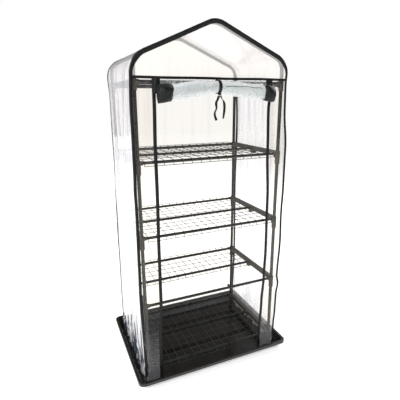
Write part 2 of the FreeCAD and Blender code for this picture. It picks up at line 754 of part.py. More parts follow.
# The roll's underside leans by its axis and its taper; the ring's bore clears it
roll_lean = math.atan2(roll_drop, roll_half) + math.atan2(end_radius - mid_radius, cone_long)
ring_inner = mid_radius / math.cos(roll_lean) + tie_half * math.tan(roll_lean) + size("tie_gap")
ring_outer = ring_inner + size("tie_thick")
roll_back = -(cover_y + film + size("zip_tape_thick") + size("roll_back_gap"))
roll_middle = Vector(0, roll_back - ring_outer, header_z - size("roll_mid_drop"))
rolls, roll_ends = [], []
for side, sign in SIDES.items():
    roll_end = Vector(sign * roll_half, roll_back - end_radius, header_z - size("roll_end_drop"))
    run = roll_end - roll_middle
    along = Vector(run).normalize()
    body_long = run.Length - size("roll_end_long")
    rolls.append(Part.makeCone(mid_radius, end_radius, body_long, roll_middle, along))
    start = roll_middle + along * body_long
    end_tape = Part.makeCylinder(end_radius, size("roll_end_long"), start, along)
    roll_ends.append(shaped(f"roll_end_{side}", end_tape))
roll_solid = rolls[0].fuse([rolls[1], Part.makeSphere(mid_radius, roll_middle)])
node("door_roll", shaped("roll", roll_solid))
node("door_roll_ends", group("roll_tape_ends", roll_ends))

# The tie goes round the roll's middle and is knotted low at the front. Its two loose
# ends hang from the knot.
ring_start = roll_middle - Vector(tie_half, 0, 0)
x_axis = Vector(1, 0, 0)
ring = Part.makeCylinder(ring_outer, size("tie_wide"), ring_start, x_axis)
ring = ring.cut(Part.makeCylinder(ring_inner, size("tie_wide"), ring_start, x_axis))
knot_angle = math.radians(size("knot_angle"))
knot_radius = size("knot_dia") / 2
knot_out = ring_outer + knot_radius - size("tie_thick") / 2
knot = roll_middle + Vector(0, -math.cos(knot_angle), -math.sin(knot_angle)) * knot_out
node("door_tie", shaped("tie", ring.fuse(Part.makeSphere(knot_radius, knot))))


def cord(points, dia):
    """A round cord along hand-set points: straight runs joined by tangent arcs."""
    radii = []
    for before, corner, after in zip(points, points[1:], points[2:]):
        back, ahead = before - corner, after - corner
        half = (math.pi - back.getAngle(ahead)) / 2
        radii.append(CORD_BEND * min(back.Length, ahead.Length) / math.tan(half))
    path = rounded_path(points, radii)
    solid = swept(path, dia / 2)
    expected = math.pi * dia ** 2 / 4 * path.Length
    if abs(solid.Volume / expected - 1) > CORD_ERROR:
        raise RuntimeError("a cord's volume is not its section times its length")
    return solid


# Points down each loose end, from the knot's underside.
TAIL_POINTS = {
    "left": [(-4, 0, -7), (-8, -2, -19), (-18, -1, -34), (-12, 0, -56), (-27, -1, -78), (-13, 1, -103)],
    "right": [(4, 0, -7), (9, -2, -18), (20, -1, -32), (23, 0, -60), (17, 1, -97)],
}
for side, offsets in TAIL_POINTS.items():
    points = [knot + Vector(*offset) for offset in offsets]
    node(f"door_tie_end_{side}", shaped(f"tie_end_{side}", cord(points, size("ribbon_dia"))))

# ---------------------------------------------------------------- ties round two posts

post_ties = []
for end, way in ENDS.items():
    tie_z = level_size("bottom") + size(f"post_tie_{end}_rise")
    low = Vector(half_wide, way * size("post_span_deep") / 2, tie_z)
    tall, thick = size("post_tie_tall"), size("post_tie_thick")
    inner = post_radius + size("fit_gap")
    knot_start = low + Vector(-inner, 0, tall / 2)
    knot_long = thick + size("post_tie_knot_long")
    post_knot = Part.makeCylinder(size("post_tie_knot_dia") / 2, knot_long, knot_start, Vector(-1, 0, 0))
    band = Part.makeCylinder(inner + thick, tall, low).fuse(post_knot)
    tie = band.cut(Part.makeCylinder(inner, tall, low))
    post_ties.append(shaped(f"post_tie_{end}", tie))
node("post_ties", group("ties", post_ties))

# ---------------------------------------------------------------- checks and export

doc.recompute()
for item in doc.Objects:
    if "Invalid" in item.State or "Error" in item.State:
        raise RuntimeError(f"{item.Label} is {item.State}")
os.makedirs("parts", exist_ok=True)
for label, item in nodes.items():
    if item.Shape.isNull() or not item.Shape.isValid() or not item.Shape.Solids:
        raise RuntimeError(f"{label} has no valid solid")
    item.Shape.exportStep(f"parts/{label}.step")
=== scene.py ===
"""Four-tier greenhouse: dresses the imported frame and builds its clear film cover.

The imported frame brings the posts, rails, tubes, wire shelves, arches and tray. This
script gives them their finishes and models the soft goods: the film panels with their
bound edges, the zips, the rolled-up door and its ribbon tie, and the ties on the posts.
Lengths are metres, +Z is up and the door faces -Y.
"""

from __future__ import annotations

import logging
import math
from collections.abc import Iterable, Sequence
from dataclasses import dataclass
from enum import Enum

import bmesh
import bpy
from mathutils import Matrix, Vector, noise

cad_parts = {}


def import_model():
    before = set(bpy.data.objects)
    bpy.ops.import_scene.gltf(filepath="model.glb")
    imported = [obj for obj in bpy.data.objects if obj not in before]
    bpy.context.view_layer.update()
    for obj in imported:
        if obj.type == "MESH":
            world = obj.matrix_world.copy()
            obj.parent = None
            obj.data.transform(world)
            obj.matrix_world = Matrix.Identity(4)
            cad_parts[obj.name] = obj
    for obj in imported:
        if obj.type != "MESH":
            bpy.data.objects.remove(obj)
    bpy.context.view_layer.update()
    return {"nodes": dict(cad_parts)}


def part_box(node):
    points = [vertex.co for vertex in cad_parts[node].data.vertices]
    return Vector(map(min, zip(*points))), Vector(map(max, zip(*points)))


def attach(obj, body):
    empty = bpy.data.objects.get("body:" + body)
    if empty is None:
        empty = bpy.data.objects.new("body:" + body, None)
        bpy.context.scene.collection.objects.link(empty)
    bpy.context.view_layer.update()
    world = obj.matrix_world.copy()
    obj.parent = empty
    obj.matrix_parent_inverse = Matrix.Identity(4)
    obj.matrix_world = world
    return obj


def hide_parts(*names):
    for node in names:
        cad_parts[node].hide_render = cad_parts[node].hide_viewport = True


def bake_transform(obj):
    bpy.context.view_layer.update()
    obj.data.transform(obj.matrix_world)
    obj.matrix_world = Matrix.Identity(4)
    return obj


log = logging.getLogger("greenhouse")

MM = 0.001
UP = Vector((0, 0, 1))
OUT_OF_DOOR = Vector((0, -1, 0))
TAPE_SLOT = "black_tape"
FILM_SLOT = "clear_film"
EVEN = (1.0, 1.0, 1.0)

Material = bpy.types.Material
Object = bpy.types.Object
Tree = bpy.types.NodeTree
Socket = bpy.types.NodeSocket
Solid = tuple[list[Vector], list[tuple]]


class Side(Enum):
    """Left or right, seen from the door, with the sign of its X."""

    LEFT = -1
    RIGHT = 1

    @property
    def word(self) -> str:
        """The side's name as the frame's nodes spell it."""
        return self.name.lower()


class End(Enum):
    """The door end or the back, with the sign of its Y."""

    FRONT = -1
    REAR = 1

    @property
    def word(self) -> str:
        """The end's name as the frame's nodes spell it."""
        return self.name.lower()


# ---- small helpers


def smooth(t: float) -> float:
    """Ease from 0 to 1 as t goes from 0 to 1.

    Args:
        t: Any number; it is clamped.

    Returns:
        The eased value.
    """
    t = min(max(t, 0.0), 1.0)
    return t * t * (3.0 - 2.0 * t)


def blend_between(knots: Sequence[tuple[float, float]], at: float) -> float:
    """Interpolate smoothly through (place, value) knots.

    Args:
        knots: Pairs in rising order of place.
        at: The place asked for.

    Returns:
        The value there, constant past both ends.
    """
    if at <= knots[0][0]:
        return knots[0][1]
    for (a, va), (b, vb) in zip(knots, knots[1:]):
        if at <= b:
            return va + (vb - va) * smooth((at - a) / (b - a))
    return knots[-1][1]


def spread(low: float, high: float, count: int) -> list[float]:
    """Evenly spaced numbers, both ends included."""
    return [low + (high - low) * i / (count - 1) for i in range(count)]


def mesh_object(name: str, points: Iterable[Vector], faces: Iterable[Sequence[int]]) -> Object:
    """Make a smooth-shaded mesh object at the origin.

    Args:
        name: The piece's name.
        points: Its corners, in metres.
        faces: Corner indices of each face.

    Returns:
        The new object, linked to the scene.
    """
    mesh = bpy.data.meshes.new(name)
    mesh.from_pydata([tuple(p) for p in points], [], [tuple(f) for f in faces])
    mesh.validate()
    mesh.polygons.foreach_set("use_smooth", [True] * len(mesh.polygons))
    obj = bpy.data.objects.new(name, mesh)
    bpy.context.collection.objects.link(obj)
    return obj


def quad_grid(rows: Sequence[Sequence[Vector]], closed: bool = False) -> Solid:
    """Points and quads of a grid of rows of equal length.

    Args:
        rows: The grid's rows.
        closed: Whether each row's last point joins its first.

    Returns:
        The points and the faces.
    """
    wide = len(rows[0])
    points = [p for row in rows for p in row]
    faces = []
    for r in range(len(rows) - 1):
        for c in range(wide if closed else wide - 1):
            d = (c + 1) % wide
            faces.append((r * wide + c, r * wide + d, (r + 1) * wide + d, (r + 1) * wide + c))
    return points, faces


def capped_tube(rows: Sequence[Sequence[Vector]]) -> Solid:
    """A closed tube through rings of points, with flat ends.

    Args:
        rows: The rings, each with the same number of points.

    Returns:
        Its points and faces.
    """
    points, faces = quad_grid(rows, closed=True)
    wide, last = len(rows[0]), (len(rows) - 1) * len(rows[0])
    faces.append(tuple(reversed(range(wide))))
    faces.append(tuple(range(last, last + wide)))
    return points, faces


def joined(name: str, parts: Iterable[Solid]) -> Object:
    """One object from several closed parts, with normals outward.

    Args:
        name: The piece's name.
        parts: The points and faces of each part.

    Returns:
        The new object.
    """
    points: list[Vector] = []
    faces: list[tuple] = []
    for more_points, more_faces in parts:
        start = len(points)
        points += more_points
        faces += [tuple(i + start for i in f) for f in more_faces]
    obj = mesh_object(name, points, faces)
    solid = bmesh.new()
    solid.from_mesh(obj.data)
    bmesh.ops.recalc_face_normals(solid, faces=solid.faces)
    solid.to_mesh(obj.data)
    solid.free()
    return obj


def walk(line: Sequence[Vector], step: float) -> list[tuple[Vector, Vector]]:
    """Points a fixed step apart along a line.

    Args:
        line: The line's points.
        step: The spacing, in metres.

    Returns:
        Pairs of point and direction.
    """
    found, at = [], step / 2
    for a, b in zip(line, line[1:]):
        run = b - a
        while run.length > 0 and at < run.length:
            found.append((a + run * (at / run.length), run.normalized()))
            at += step
        at -= run.length
    return found


def studded(line: Sequence[Vector], pitch: float, out: Vector,
            size: tuple[float, float, float]) -> list[Solid]:
    """Stitches or teeth along a line.

    Args:
        line: The line's points.
        pitch: Their spacing.
        out: Roughly their outward direction.
        size: The length, width and thickness of each.

    Returns:
        The points and faces of each.
    """
    return [block(place, along, out, size) for place, along in walk(line, pitch)]


def block(middle: Vector, along: Vector, out: Vector, size: tuple[float, float, float]) -> Solid:
    """A small block turned to a direction, with its ends narrowed as a thread or tooth has.

    Args:
        middle: Its centre.
        along: Its long direction.
        out: Roughly its outward direction.
        size: Its length, width and thickness.

    Returns:
        Its points and faces.
    """
    across = along.cross(out).normalized()
    up = across.cross(along).normalized()
    long, wide, thick = size
    square = ((-0.5, -0.5), (0.5, -0.5), (0.5, 0.5), (-0.5, 0.5))
    narrowed = ((-0.5, 0.55), (-0.3, 1.0), (0.3, 1.0), (0.5, 0.55))
    return capped_tube([
        [middle + along * long * place + across * wide * fat * a + up * thick * fat * b for a, b in square]
        for place, fat in narrowed])


def ribbon(line: Sequence[Vector], across: Sequence[Vector], wide: float, thick: float) -> Solid:
    """A slightly crowned ribbon along a line.

    Args:
        line: The middle of the ribbon.
        across: The direction of its width at each point.
        wide: Its width.
        thick: Its thickness.

    Returns:
        Its points and faces, closed.
    """
    outline = ((-0.5, -0.4), (0.0, -0.6), (0.5, -0.4), (0.5, 0.4), (0.0, 0.6), (-0.5, 0.4))
    rows = []
    for i, (p, side) in enumerate(zip(line, across)):
        ahead = line[min(i + 1, len(line) - 1)] - line[max(i - 1, 0)]
        along = ahead.normalized()
        w = (side - along * side.dot(along)).normalized()
        n = along.cross(w)
        rows.append([p + w * wide * a + n * thick * b for a, b in outline])
    return capped_tube(rows)


def curved(points: Sequence[Vector]) -> list[Vector]:
    """Follow the smooth NURBS line that a few control points set out.

    Args:
        points: The control points; the line starts and ends on the outer two.

    Returns:
        Points along it.
    """
    data = bpy.data.curves.new("route", "CURVE")
    data.dimensions = "3D"
    data.resolution_u = 10
    spline = data.splines.new("NURBS")
    spline.points.add(len(points) - 1)
    for point, place in zip(spline.points, points):
        point.co = (*place, 1.0)
    spline.order_u = 3
    spline.use_endpoint_u = True
    route = bpy.data.objects.new("route", data)
    bpy.context.collection.objects.link(route)
    mesh = bpy.data.meshes.new_from_object(route)
    found = [v.co.copy() for v in mesh.vertices]
    bpy.data.objects.remove(route)
    bpy.data.meshes.remove(mesh)
    bpy.data.curves.remove(data)
    return found


def fit(obj: Object, material: Material, slot: str, body: str | None, *nodes: str) -> Object:
    """Give a piece its finish and its place in the frame.

    Args:
        obj: The piece.
        material: Its finish.
        slot: Not used.
        body: The body that it rides on; None for a piece that hangs between two bodies and is left on none.
        *nodes: The plain solids that it stands for.

    Returns:
        The piece.
    """
    obj.data.materials.append(material)
    if body:
        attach(obj, body)
    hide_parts(*nodes)
    log.info("%s: %d points", obj.name, len(obj.data.vertices))
    return obj


# ---- finishes


def srgb(code: str) -> tuple[float, float, float, float]:
    """Turn an sRGB hex colour into the linear RGBA that nodes take.

    Args:
        code: Six hex digits.

    Returns:
        Linear red, green, blue and a full alpha.
    """
    out = []
    for i in (0, 2, 4):
        c = int(code[i : i + 2], 16) / 255
        out.append(c / 12.92 if c <= 0.04045 else ((c + 0.055) / 1.055) ** 2.4)
    return (out[0], out[1], out[2], 1.0)


def add_node(tree: Tree, kind: str, inputs: dict | None = None, **settings) -> bpy.types.Node:
    """Add a node with its settings, and set or link its inputs.

    Args:
        tree: The material's node tree.
        kind: The node's type name.
        inputs: Input name or index to a value, or to a socket to link.
        **settings: The node's own attributes.

    Returns:
        The new node.
    """
    node = tree.nodes.new(kind)
    for key, value in settings.items():
        setattr(node, key, value)
    for key, value in (inputs or {}).items():
        if isinstance(value, Socket):
            tree.links.new(value, node.inputs[key])
        else:
            node.inputs[key].default_value = value
    return node


def new_material(name: str) -> tuple[Material, Tree]:
    """Make a material with an empty node tree.

    Args:
        name: Its name.

    Returns:
        The material and its tree.
    """
    material = bpy.data.materials.new(name)
    material.use_nodes = True
    material.node_tree.nodes.clear()
    return material, material.node_tree


def two_tone(tree: Tree, factor: Socket, low: str, high: str,
             start: float = 0.35, stop: float = 0.65) -> Socket:
    """A colour that goes from one hex value to another as a factor rises.

    Args:
        tree: The material's node tree.
        factor: What drives it.
        low: The colour below start.
        high: The colour above stop.
        start: Where it begins to change.
        stop: Where it ends.

    Returns:
        The colour socket.
    """
    ramp = add_node(tree, "ShaderNodeValToRGB", {"Fac": factor})
    ramp.color_ramp.elements[0].position = start
    ramp.color_ramp.elements[1].position = stop
    ramp.color_ramp.elements[0].color = srgb(low)
    ramp.color_ramp.elements[1].color = srgb(high)
    return ramp.outputs["Color"]


def ramped(tree: Tree, value: Socket, low: float, high: float,
           start: float = 0.3, stop: float = 0.7) -> Socket:
    """A number that goes from low to high as value goes from start to stop."""
    node = add_node(tree, "ShaderNodeMapRange", {
        "Value": value, "From Min": start, "From Max": stop, "To Min": low, "To Max": high,
    })
    return node.outputs["Result"]


def stretched(tree: Tree, scale: tuple[float, float, float]) -> Socket:
    """Object coordinates multiplied by a scale in cycles per metre."""
    place = add_node(tree, "ShaderNodeTexCoord")
    mapping = add_node(tree, "ShaderNodeMapping", {"Vector": place.outputs["Object"], "Scale": scale})
    return mapping.outputs["Vector"]


def noise_at(tree: Tree, vector: Socket, scale: float = 1.0,
             detail: float = 3.0, roughness: float = 0.5) -> Socket:
    """A noise value over a vector."""
    node = add_node(tree, "ShaderNodeTexNoise", {
        "Vector": vector, "Scale": scale, "Detail": detail, "Roughness": roughness,
    })
    return node.outputs["Fac"]


def maths(tree: Tree, operation: str, *values: Socket | float, clamp: bool = False) -> Socket:
    """The result of a math node.

    Args:
        tree: The material's node tree.
        operation: What it works out.
        *values: Its inputs, in order.
        clamp: Whether the result is kept from 0 to 1.

    Returns:
        The result socket.
    """
    node = add_node(tree, "ShaderNodeMath", dict(enumerate(values)), operation=operation, use_clamp=clamp)
    return node.outputs[0]


def surfaced(material: Material, shader: Socket) -> Material:
    """The material, with a shader on its surface."""
    add_node(material.node_tree, "ShaderNodeOutputMaterial", {"Surface": shader})
    return material


def per_metre(size_mm: float) -> float:
    """How many repeats of a size fit in a metre."""
    return 1.0 / (size_mm * MM)


@dataclass(frozen=True)
class CoatedSteel:
    """Steel tube or wire, powder coated: sprayed as dust and baked. The melted powder
    leaves a soft orange-peel gloss, a little thin and olive where it catches light."""

    name: str = "powder_coated_steel"
    colour: str = "12130E"
    worn: str = "25271E"
    roughness: float = 0.24
    peel_mm: float = 2.5

    def build(self) -> Material:
        """Make the material.

        Returns:
            The material.
        """
        material, tree = new_material(self.name)
        everywhere = stretched(tree, EVEN)
        patches = noise_at(tree, everywhere, per_metre(70), 4.0)
        peel = noise_at(tree, everywhere, per_metre(self.peel_mm), 2.0)
        bump = add_node(tree, "ShaderNodeBump", {"Height": peel, "Strength": 0.12, "Distance": 0.3 * MM})
        shader = add_node(tree, "ShaderNodeBsdfPrincipled", {
            "Base Color": two_tone(tree, patches, self.colour, self.worn, 0.4, 0.75),
            "Roughness": ramped(tree, patches, self.roughness, self.roughness + 0.12),
            "Normal": bump.outputs["Normal"],
            "IOR": 1.5,
            "Coat Weight": 0.25,
            "Coat Roughness": 0.15,
        })
        return surfaced(material, shader.outputs["BSDF"])


@dataclass(frozen=True)
class MouldedPlastic:
    """Injection-moulded polypropylene. The mould's fine spark-eroded grain makes it
    matt, and flow in the mould leaves faint clouding."""

    name: str
    colour: str
    cloud: str
    roughness: float
    grain_mm: float
    grain_depth: float
    coat: float = 0.0
    specular: float = 0.35

    def build(self) -> Material:
        """Make the material.

        Returns:
            The material.
        """
        material, tree = new_material(self.name)
        everywhere = stretched(tree, EVEN)
        clouds = noise_at(tree, everywhere, per_metre(120), 5.0, 0.6)
        grain = noise_at(tree, everywhere, per_metre(self.grain_mm), 3.0)
        bump = add_node(tree, "ShaderNodeBump", {
            "Height": grain, "Strength": self.grain_depth, "Distance": 0.4 * MM,
        })
        shader = add_node(tree, "ShaderNodeBsdfPrincipled", {
            "Base Color": two_tone(tree, clouds, self.colour, self.cloud),
            "Roughness": ramped(tree, clouds, self.roughness, self.roughness + 0.15),
            "Normal": bump.outputs["Normal"],
            "IOR": 1.49,
            "Specular IOR Level": self.specular,
            "Coat Weight": self.coat,
            "Coat Roughness": 0.2,
        })
        return surfaced(material, shader.outputs["BSDF"])


@dataclass(frozen=True)
class ClearFilm:
    """Soft PVC film, calendered between rollers. It is clear face on, milky where it
    is creased or seen edge on, and mirrors the light in long smears. Its creases let
    through a darker tint, which is painted shade."""

    name: str = "clear_pvc_film"
    tint: str = "FBF8F3"
    crease_shade_tint: str = "EFEDEB"
    haze_colour: str = "ECEBF3"
    haze: float = 0.012
    edge_haze: float = 0.35
    edge_power: float = 3.0
    foot_haze: float = 0.07
    foot_top: float = 0.3
    crease_haze: float = 0.07
    through_light: float = 0.3
    dark_patch_colour: str = "3C434E"
    dark_patch_strength: float = 0.0
    dark_patch_top: float = 0.75
    dark_patch_haze: float = 0.55
    dark_patch_sides: tuple[float, float] = (-0.3, 0.1)
    dark_patch_mm: tuple[float, float, float] = (60, 38, 150)
    crease_mm: float = 42.0
    run_mm: float = 700.0
    cloud_mm: float = 260.0
    crease_deep: float = 6 * MM
    hem: float = 0.05
    roughness: float = 0.12

    def build(self) -> Material:
        """Make the material.

        Returns:
            The material.
        """
        material, tree = new_material(self.name)
        fine = per_metre(self.crease_mm)
        streaks = noise_at(tree, stretched(tree, (fine, fine, per_metre(self.run_mm))), 1.0, 4.0, 0.62)
        clouds = noise_at(tree, stretched(tree, EVEN), per_metre(self.cloud_mm), 3.0)
        crease = ramped(tree, streaks, 0.0, 1.0, 0.5, 0.72)
        place = add_node(tree, "ShaderNodeTexCoord").outputs["Object"]
        spot = add_node(tree, "ShaderNodeSeparateXYZ", {"Vector": place}).outputs
        dark_patches = self.dark_patches(tree, spot) if self.dark_patch_strength else None
        haze = self.haze_amount(tree, maths(tree, "MULTIPLY", crease, clouds), spot["Z"], dark_patches)
        colour = srgb(self.haze_colour)
        if dark_patches is not None:
            colour = add_node(tree, "ShaderNodeMix", {
                "Factor": dark_patches, "A": colour, "B": srgb(self.dark_patch_colour),
            }, data_type="RGBA").outputs["Result"]
        bump = add_node(tree, "ShaderNodeBump", {
            "Height": streaks, "Strength": 0.5, "Distance": self.crease_deep,
        })
        # Milky film also passes on light from behind, which the small emission stands for.
        gloss = add_node(tree, "ShaderNodeBsdfPrincipled", {
            "Base Color": colour,
            "Emission Color": colour,
            "Emission Strength": self.through_light,
            "Roughness": self.roughness,
            "IOR": 1.53,
            "Normal": bump.outputs["Normal"],
            "Coat Weight": 1.0,
            "Coat Roughness": 0.05,
        })
        # Creases pass a darker tint: painted shade for the light that the creases bend and mirror away.
        clear = add_node(tree, "ShaderNodeBsdfTransparent", {
            "Color": two_tone(tree, crease, self.tint, self.crease_shade_tint, 0.0, 1.0),
        })
        mixed = add_node(tree, "ShaderNodeMixShader", {
            0: haze, 1: clear.outputs["BSDF"], 2: gloss.outputs["BSDF"],
        })
        return surfaced(material, mixed.outputs["Shader"])

    def dark_patches(self, tree: Tree, spot: bpy.types.NodeOutputs) -> Socket:
        """Dark smears on the left side only, thickest at the hem.

        Args:
            tree: The material's node tree.
            spot: The X, Y and Z of the place.

        Returns:
            How much of the dark smears the place has, from 0 to 1.
        """
        low_down = ramped(tree, spot["Z"], self.dark_patch_strength, 0.0, self.hem, self.dark_patch_top)
        on_left = ramped(tree, spot["X"], 1.0, 0.0, *self.dark_patch_sides)
        smears = noise_at(tree, stretched(tree, tuple(per_metre(mm) for mm in self.dark_patch_mm)), 1.0, 5.0, 0.7)
        smeared = ramped(tree, smears, 0.0, 1.0, 0.42, 0.56)
        return maths(tree, "MULTIPLY", smeared, maths(tree, "MULTIPLY", on_left, low_down), clamp=True)

    def haze_amount(self, tree: Tree, creased: Socket, height: Socket, dark_patches: Socket | None) -> Socket:
        """How milky the film is.

        Args:
            tree: The material's node tree.
            creased: How creased the place is.
            height: Its height.
            dark_patches: How much of the dark smears it has, or None on film without them.

        Returns:
            The share of milky film, from 0 to 1.
        """
        facing = add_node(tree, "ShaderNodeLayerWeight", {"Blend": 0.5}).outputs["Facing"]
        turned = maths(tree, "POWER", facing, self.edge_power)
        edge = maths(tree, "MULTIPLY_ADD", turned, self.edge_haze, self.haze)
        foot = ramped(tree, height, self.foot_haze, 0.0, self.hem, self.foot_top)
        still = maths(tree, "ADD", edge, foot)
        if dark_patches is not None:
            still = maths(tree, "MULTIPLY_ADD", dark_patches, self.dark_patch_haze, still)
        return maths(tree, "MULTIPLY_ADD", creased, self.crease_haze, still, clamp=True)


@dataclass(frozen=True)
class WovenTape:
    """Polyester tape, woven on narrow looms. Matt black, with a fine rib that breaks up
    the light and a faint sheen at the edges. Random patches are painted a lighter
    colour, a painted sheen."""

    name: str = "woven_black_tape"
    colour: str = "090A0A"
    painted_sheen_colour: str = "151818"
    rib_mm: float = 1.6
    roughness: float = 0.52
    sheen: float = 0.06

    def build(self) -> Material:
        """Make the material. The rib is drawn coarser than real thread, so it shows.

        Returns:
            The material.
        """
        material, tree = new_material(self.name)
        rib = per_metre(self.rib_mm)
        weave = add_node(tree, "ShaderNodeTexVoronoi", {
            "Vector": stretched(tree, (rib, rib, rib)), "Scale": 1.0,
        })
        # Random patches: the lighter colour there is painted sheen, and the roughness there varies as with
        # wear.
        wear_and_painted_sheen = noise_at(tree, stretched(tree, EVEN), per_metre(25), 3.0)
        bump = add_node(tree, "ShaderNodeBump", {
            "Height": weave.outputs["Distance"], "Strength": 0.5, "Distance": 0.4 * MM,
        })
        shader = add_node(tree, "ShaderNodeBsdfPrincipled", {
            "Base Color": two_tone(tree, wear_and_painted_sheen, self.colour, self.painted_sheen_colour, 0.35, 0.8),
            "Roughness": ramped(tree, wear_and_painted_sheen, self.roughness - 0.12, self.roughness + 0.1),
            "Normal": bump.outputs["Normal"],
            "Specular IOR Level": 0.22,
            "Sheen Weight": self.sheen,
            "Sheen Roughness": 0.4,
        })
        return surfaced(material, shader.outputs["BSDF"])


@dataclass(frozen=True)
class StudioFloor:
    """Seamless pale paper that glows a little, so that shadows on it stay faint."""

    colour: str = "FFFFFF"
    near_glow: float = 0.4
    far_glow: float = 0.77

    def build(self) -> Material:
        """Make the material.

        Returns:
            The material.
        """
        material, tree = new_material("studio_paper")
        place = stretched(tree, EVEN)
        fibres = noise_at(tree, place, per_metre(300), 2.0)
        away = add_node(tree, "ShaderNodeVectorMath", {0: place}, operation="LENGTH").outputs["Value"]
        shader = add_node(tree, "ShaderNodeBsdfPrincipled", {
            "Base Color": two_tone(tree, fibres, "FAFAFA", self.colour),
            "Roughness": 0.9,
            "Specular IOR Level": 0.0,
            "Emission Color": srgb(self.colour),
            "Emission Strength": ramped(tree, away, self.near_glow, self.far_glow, 0.4, 2.6),
        })
        return surfaced(material, shader.outputs["BSDF"])


@dataclass(frozen=True)
class Finishes:
    """Every material, built once."""

    tube: Material
    wire: Material
    connector: Material
    tray: Material
    film: Material
    side_film: Material
    gable_film: Material
    door_film: Material
    tape: Material
    ribbon: Material
    metal: Material

    @classmethod
    def build(cls) -> "Finishes":
        """Make them all.

        Returns:
            The finishes.
        """
        return cls(
            tube=CoatedSteel().build(),
            wire=CoatedSteel("powder_coated_wire", "1E1F1A", "36372F", 0.5, 1.5).build(),
            connector=MouldedPlastic("moulded_polypropylene_brown_grey", "37342E", "4A463F",
                                     0.5, 1.2, 0.25).build(),
            tray=MouldedPlastic("moulded_polypropylene_black", "0F0E0C", "1A1815",
                                0.12, 2.0, 0.05, 0.3).build(),
            film=ClearFilm().build(),
            side_film=ClearFilm("clear_pvc_film_creased", tint="FAF8F6", crease_shade_tint="CCCCD2", haze=0.03,
                                haze_colour="E4E3E8", edge_haze=0.95, edge_power=2.0, crease_haze=0.3,
                                crease_mm=34, through_light=0.16, dark_patch_strength=1.5, dark_patch_top=0.8).build(),
            gable_film=ClearFilm("clear_pvc_film_milky", tint="FAF7F4", crease_shade_tint="F1EEEA", haze=0.3,
                                 edge_haze=0.5, crease_haze=0.1, crease_mm=90, run_mm=160,
                                 haze_colour="EEEBE8", through_light=0.3).build(),
            door_film=ClearFilm("rolled_pvc_film", tint="F4F5F4", crease_shade_tint="ADB6BC", haze_colour="EDEFF0",
                                haze=0.13, edge_haze=0.6, edge_power=1.6, crease_haze=0.5, crease_mm=20,
                                run_mm=34, roughness=0.07, through_light=0.3).build(),
            tape=WovenTape().build(),
            ribbon=WovenTape("satin_ribbon_black", "08090A", "131516", 1.2, 0.42, 0.08).build(),
            metal=CoatedSteel("enamelled_zinc", "101112", "1C1D1E", 0.22, 4.0).build(),
        )


# ---- layout


@dataclass(frozen=True)
class Layout:
    """Places that several sub-assemblies share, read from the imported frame."""

    post_x: float
    film_x: float
    film_y: float
    hem: float
    header_low: float
    header_high: float
    eave: float
    zip_x: float
    zip_half: float
    roll_back: float
    roll_half: float

    @classmethod
    def from_frame(cls) -> "Layout":
        """Read the boxes of the nodes that set out the greenhouse.

        Returns:
            The places.
        """
        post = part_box("post_front_right")
        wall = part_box("cover_wall_right")
        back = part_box("cover_back")
        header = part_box("door_header")
        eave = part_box("eave_bar_front")
        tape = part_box("zip_tape_right")
        return cls(
            post_x=(post[0][0] + post[1][0]) / 2,
            film_x=(wall[0][0] + wall[1][0]) / 2,
            film_y=(back[0][1] + back[1][1]) / 2,
            hem=wall[0][2],
            header_low=header[0][2],
            header_high=header[1][2],
            eave=(eave[0][2] + eave[1][2]) / 2,
            zip_x=(tape[0][0] + tape[1][0]) / 2,
            zip_half=(tape[1][0] - tape[0][0]) / 2,
            roll_back=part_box("door_tie")[1][1],
            roll_half=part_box("door_roll_ends")[1][0],
        )

    @property
    def header(self) -> float:
        """The height of the header's middle."""
        return (self.header_low + self.header_high) / 2


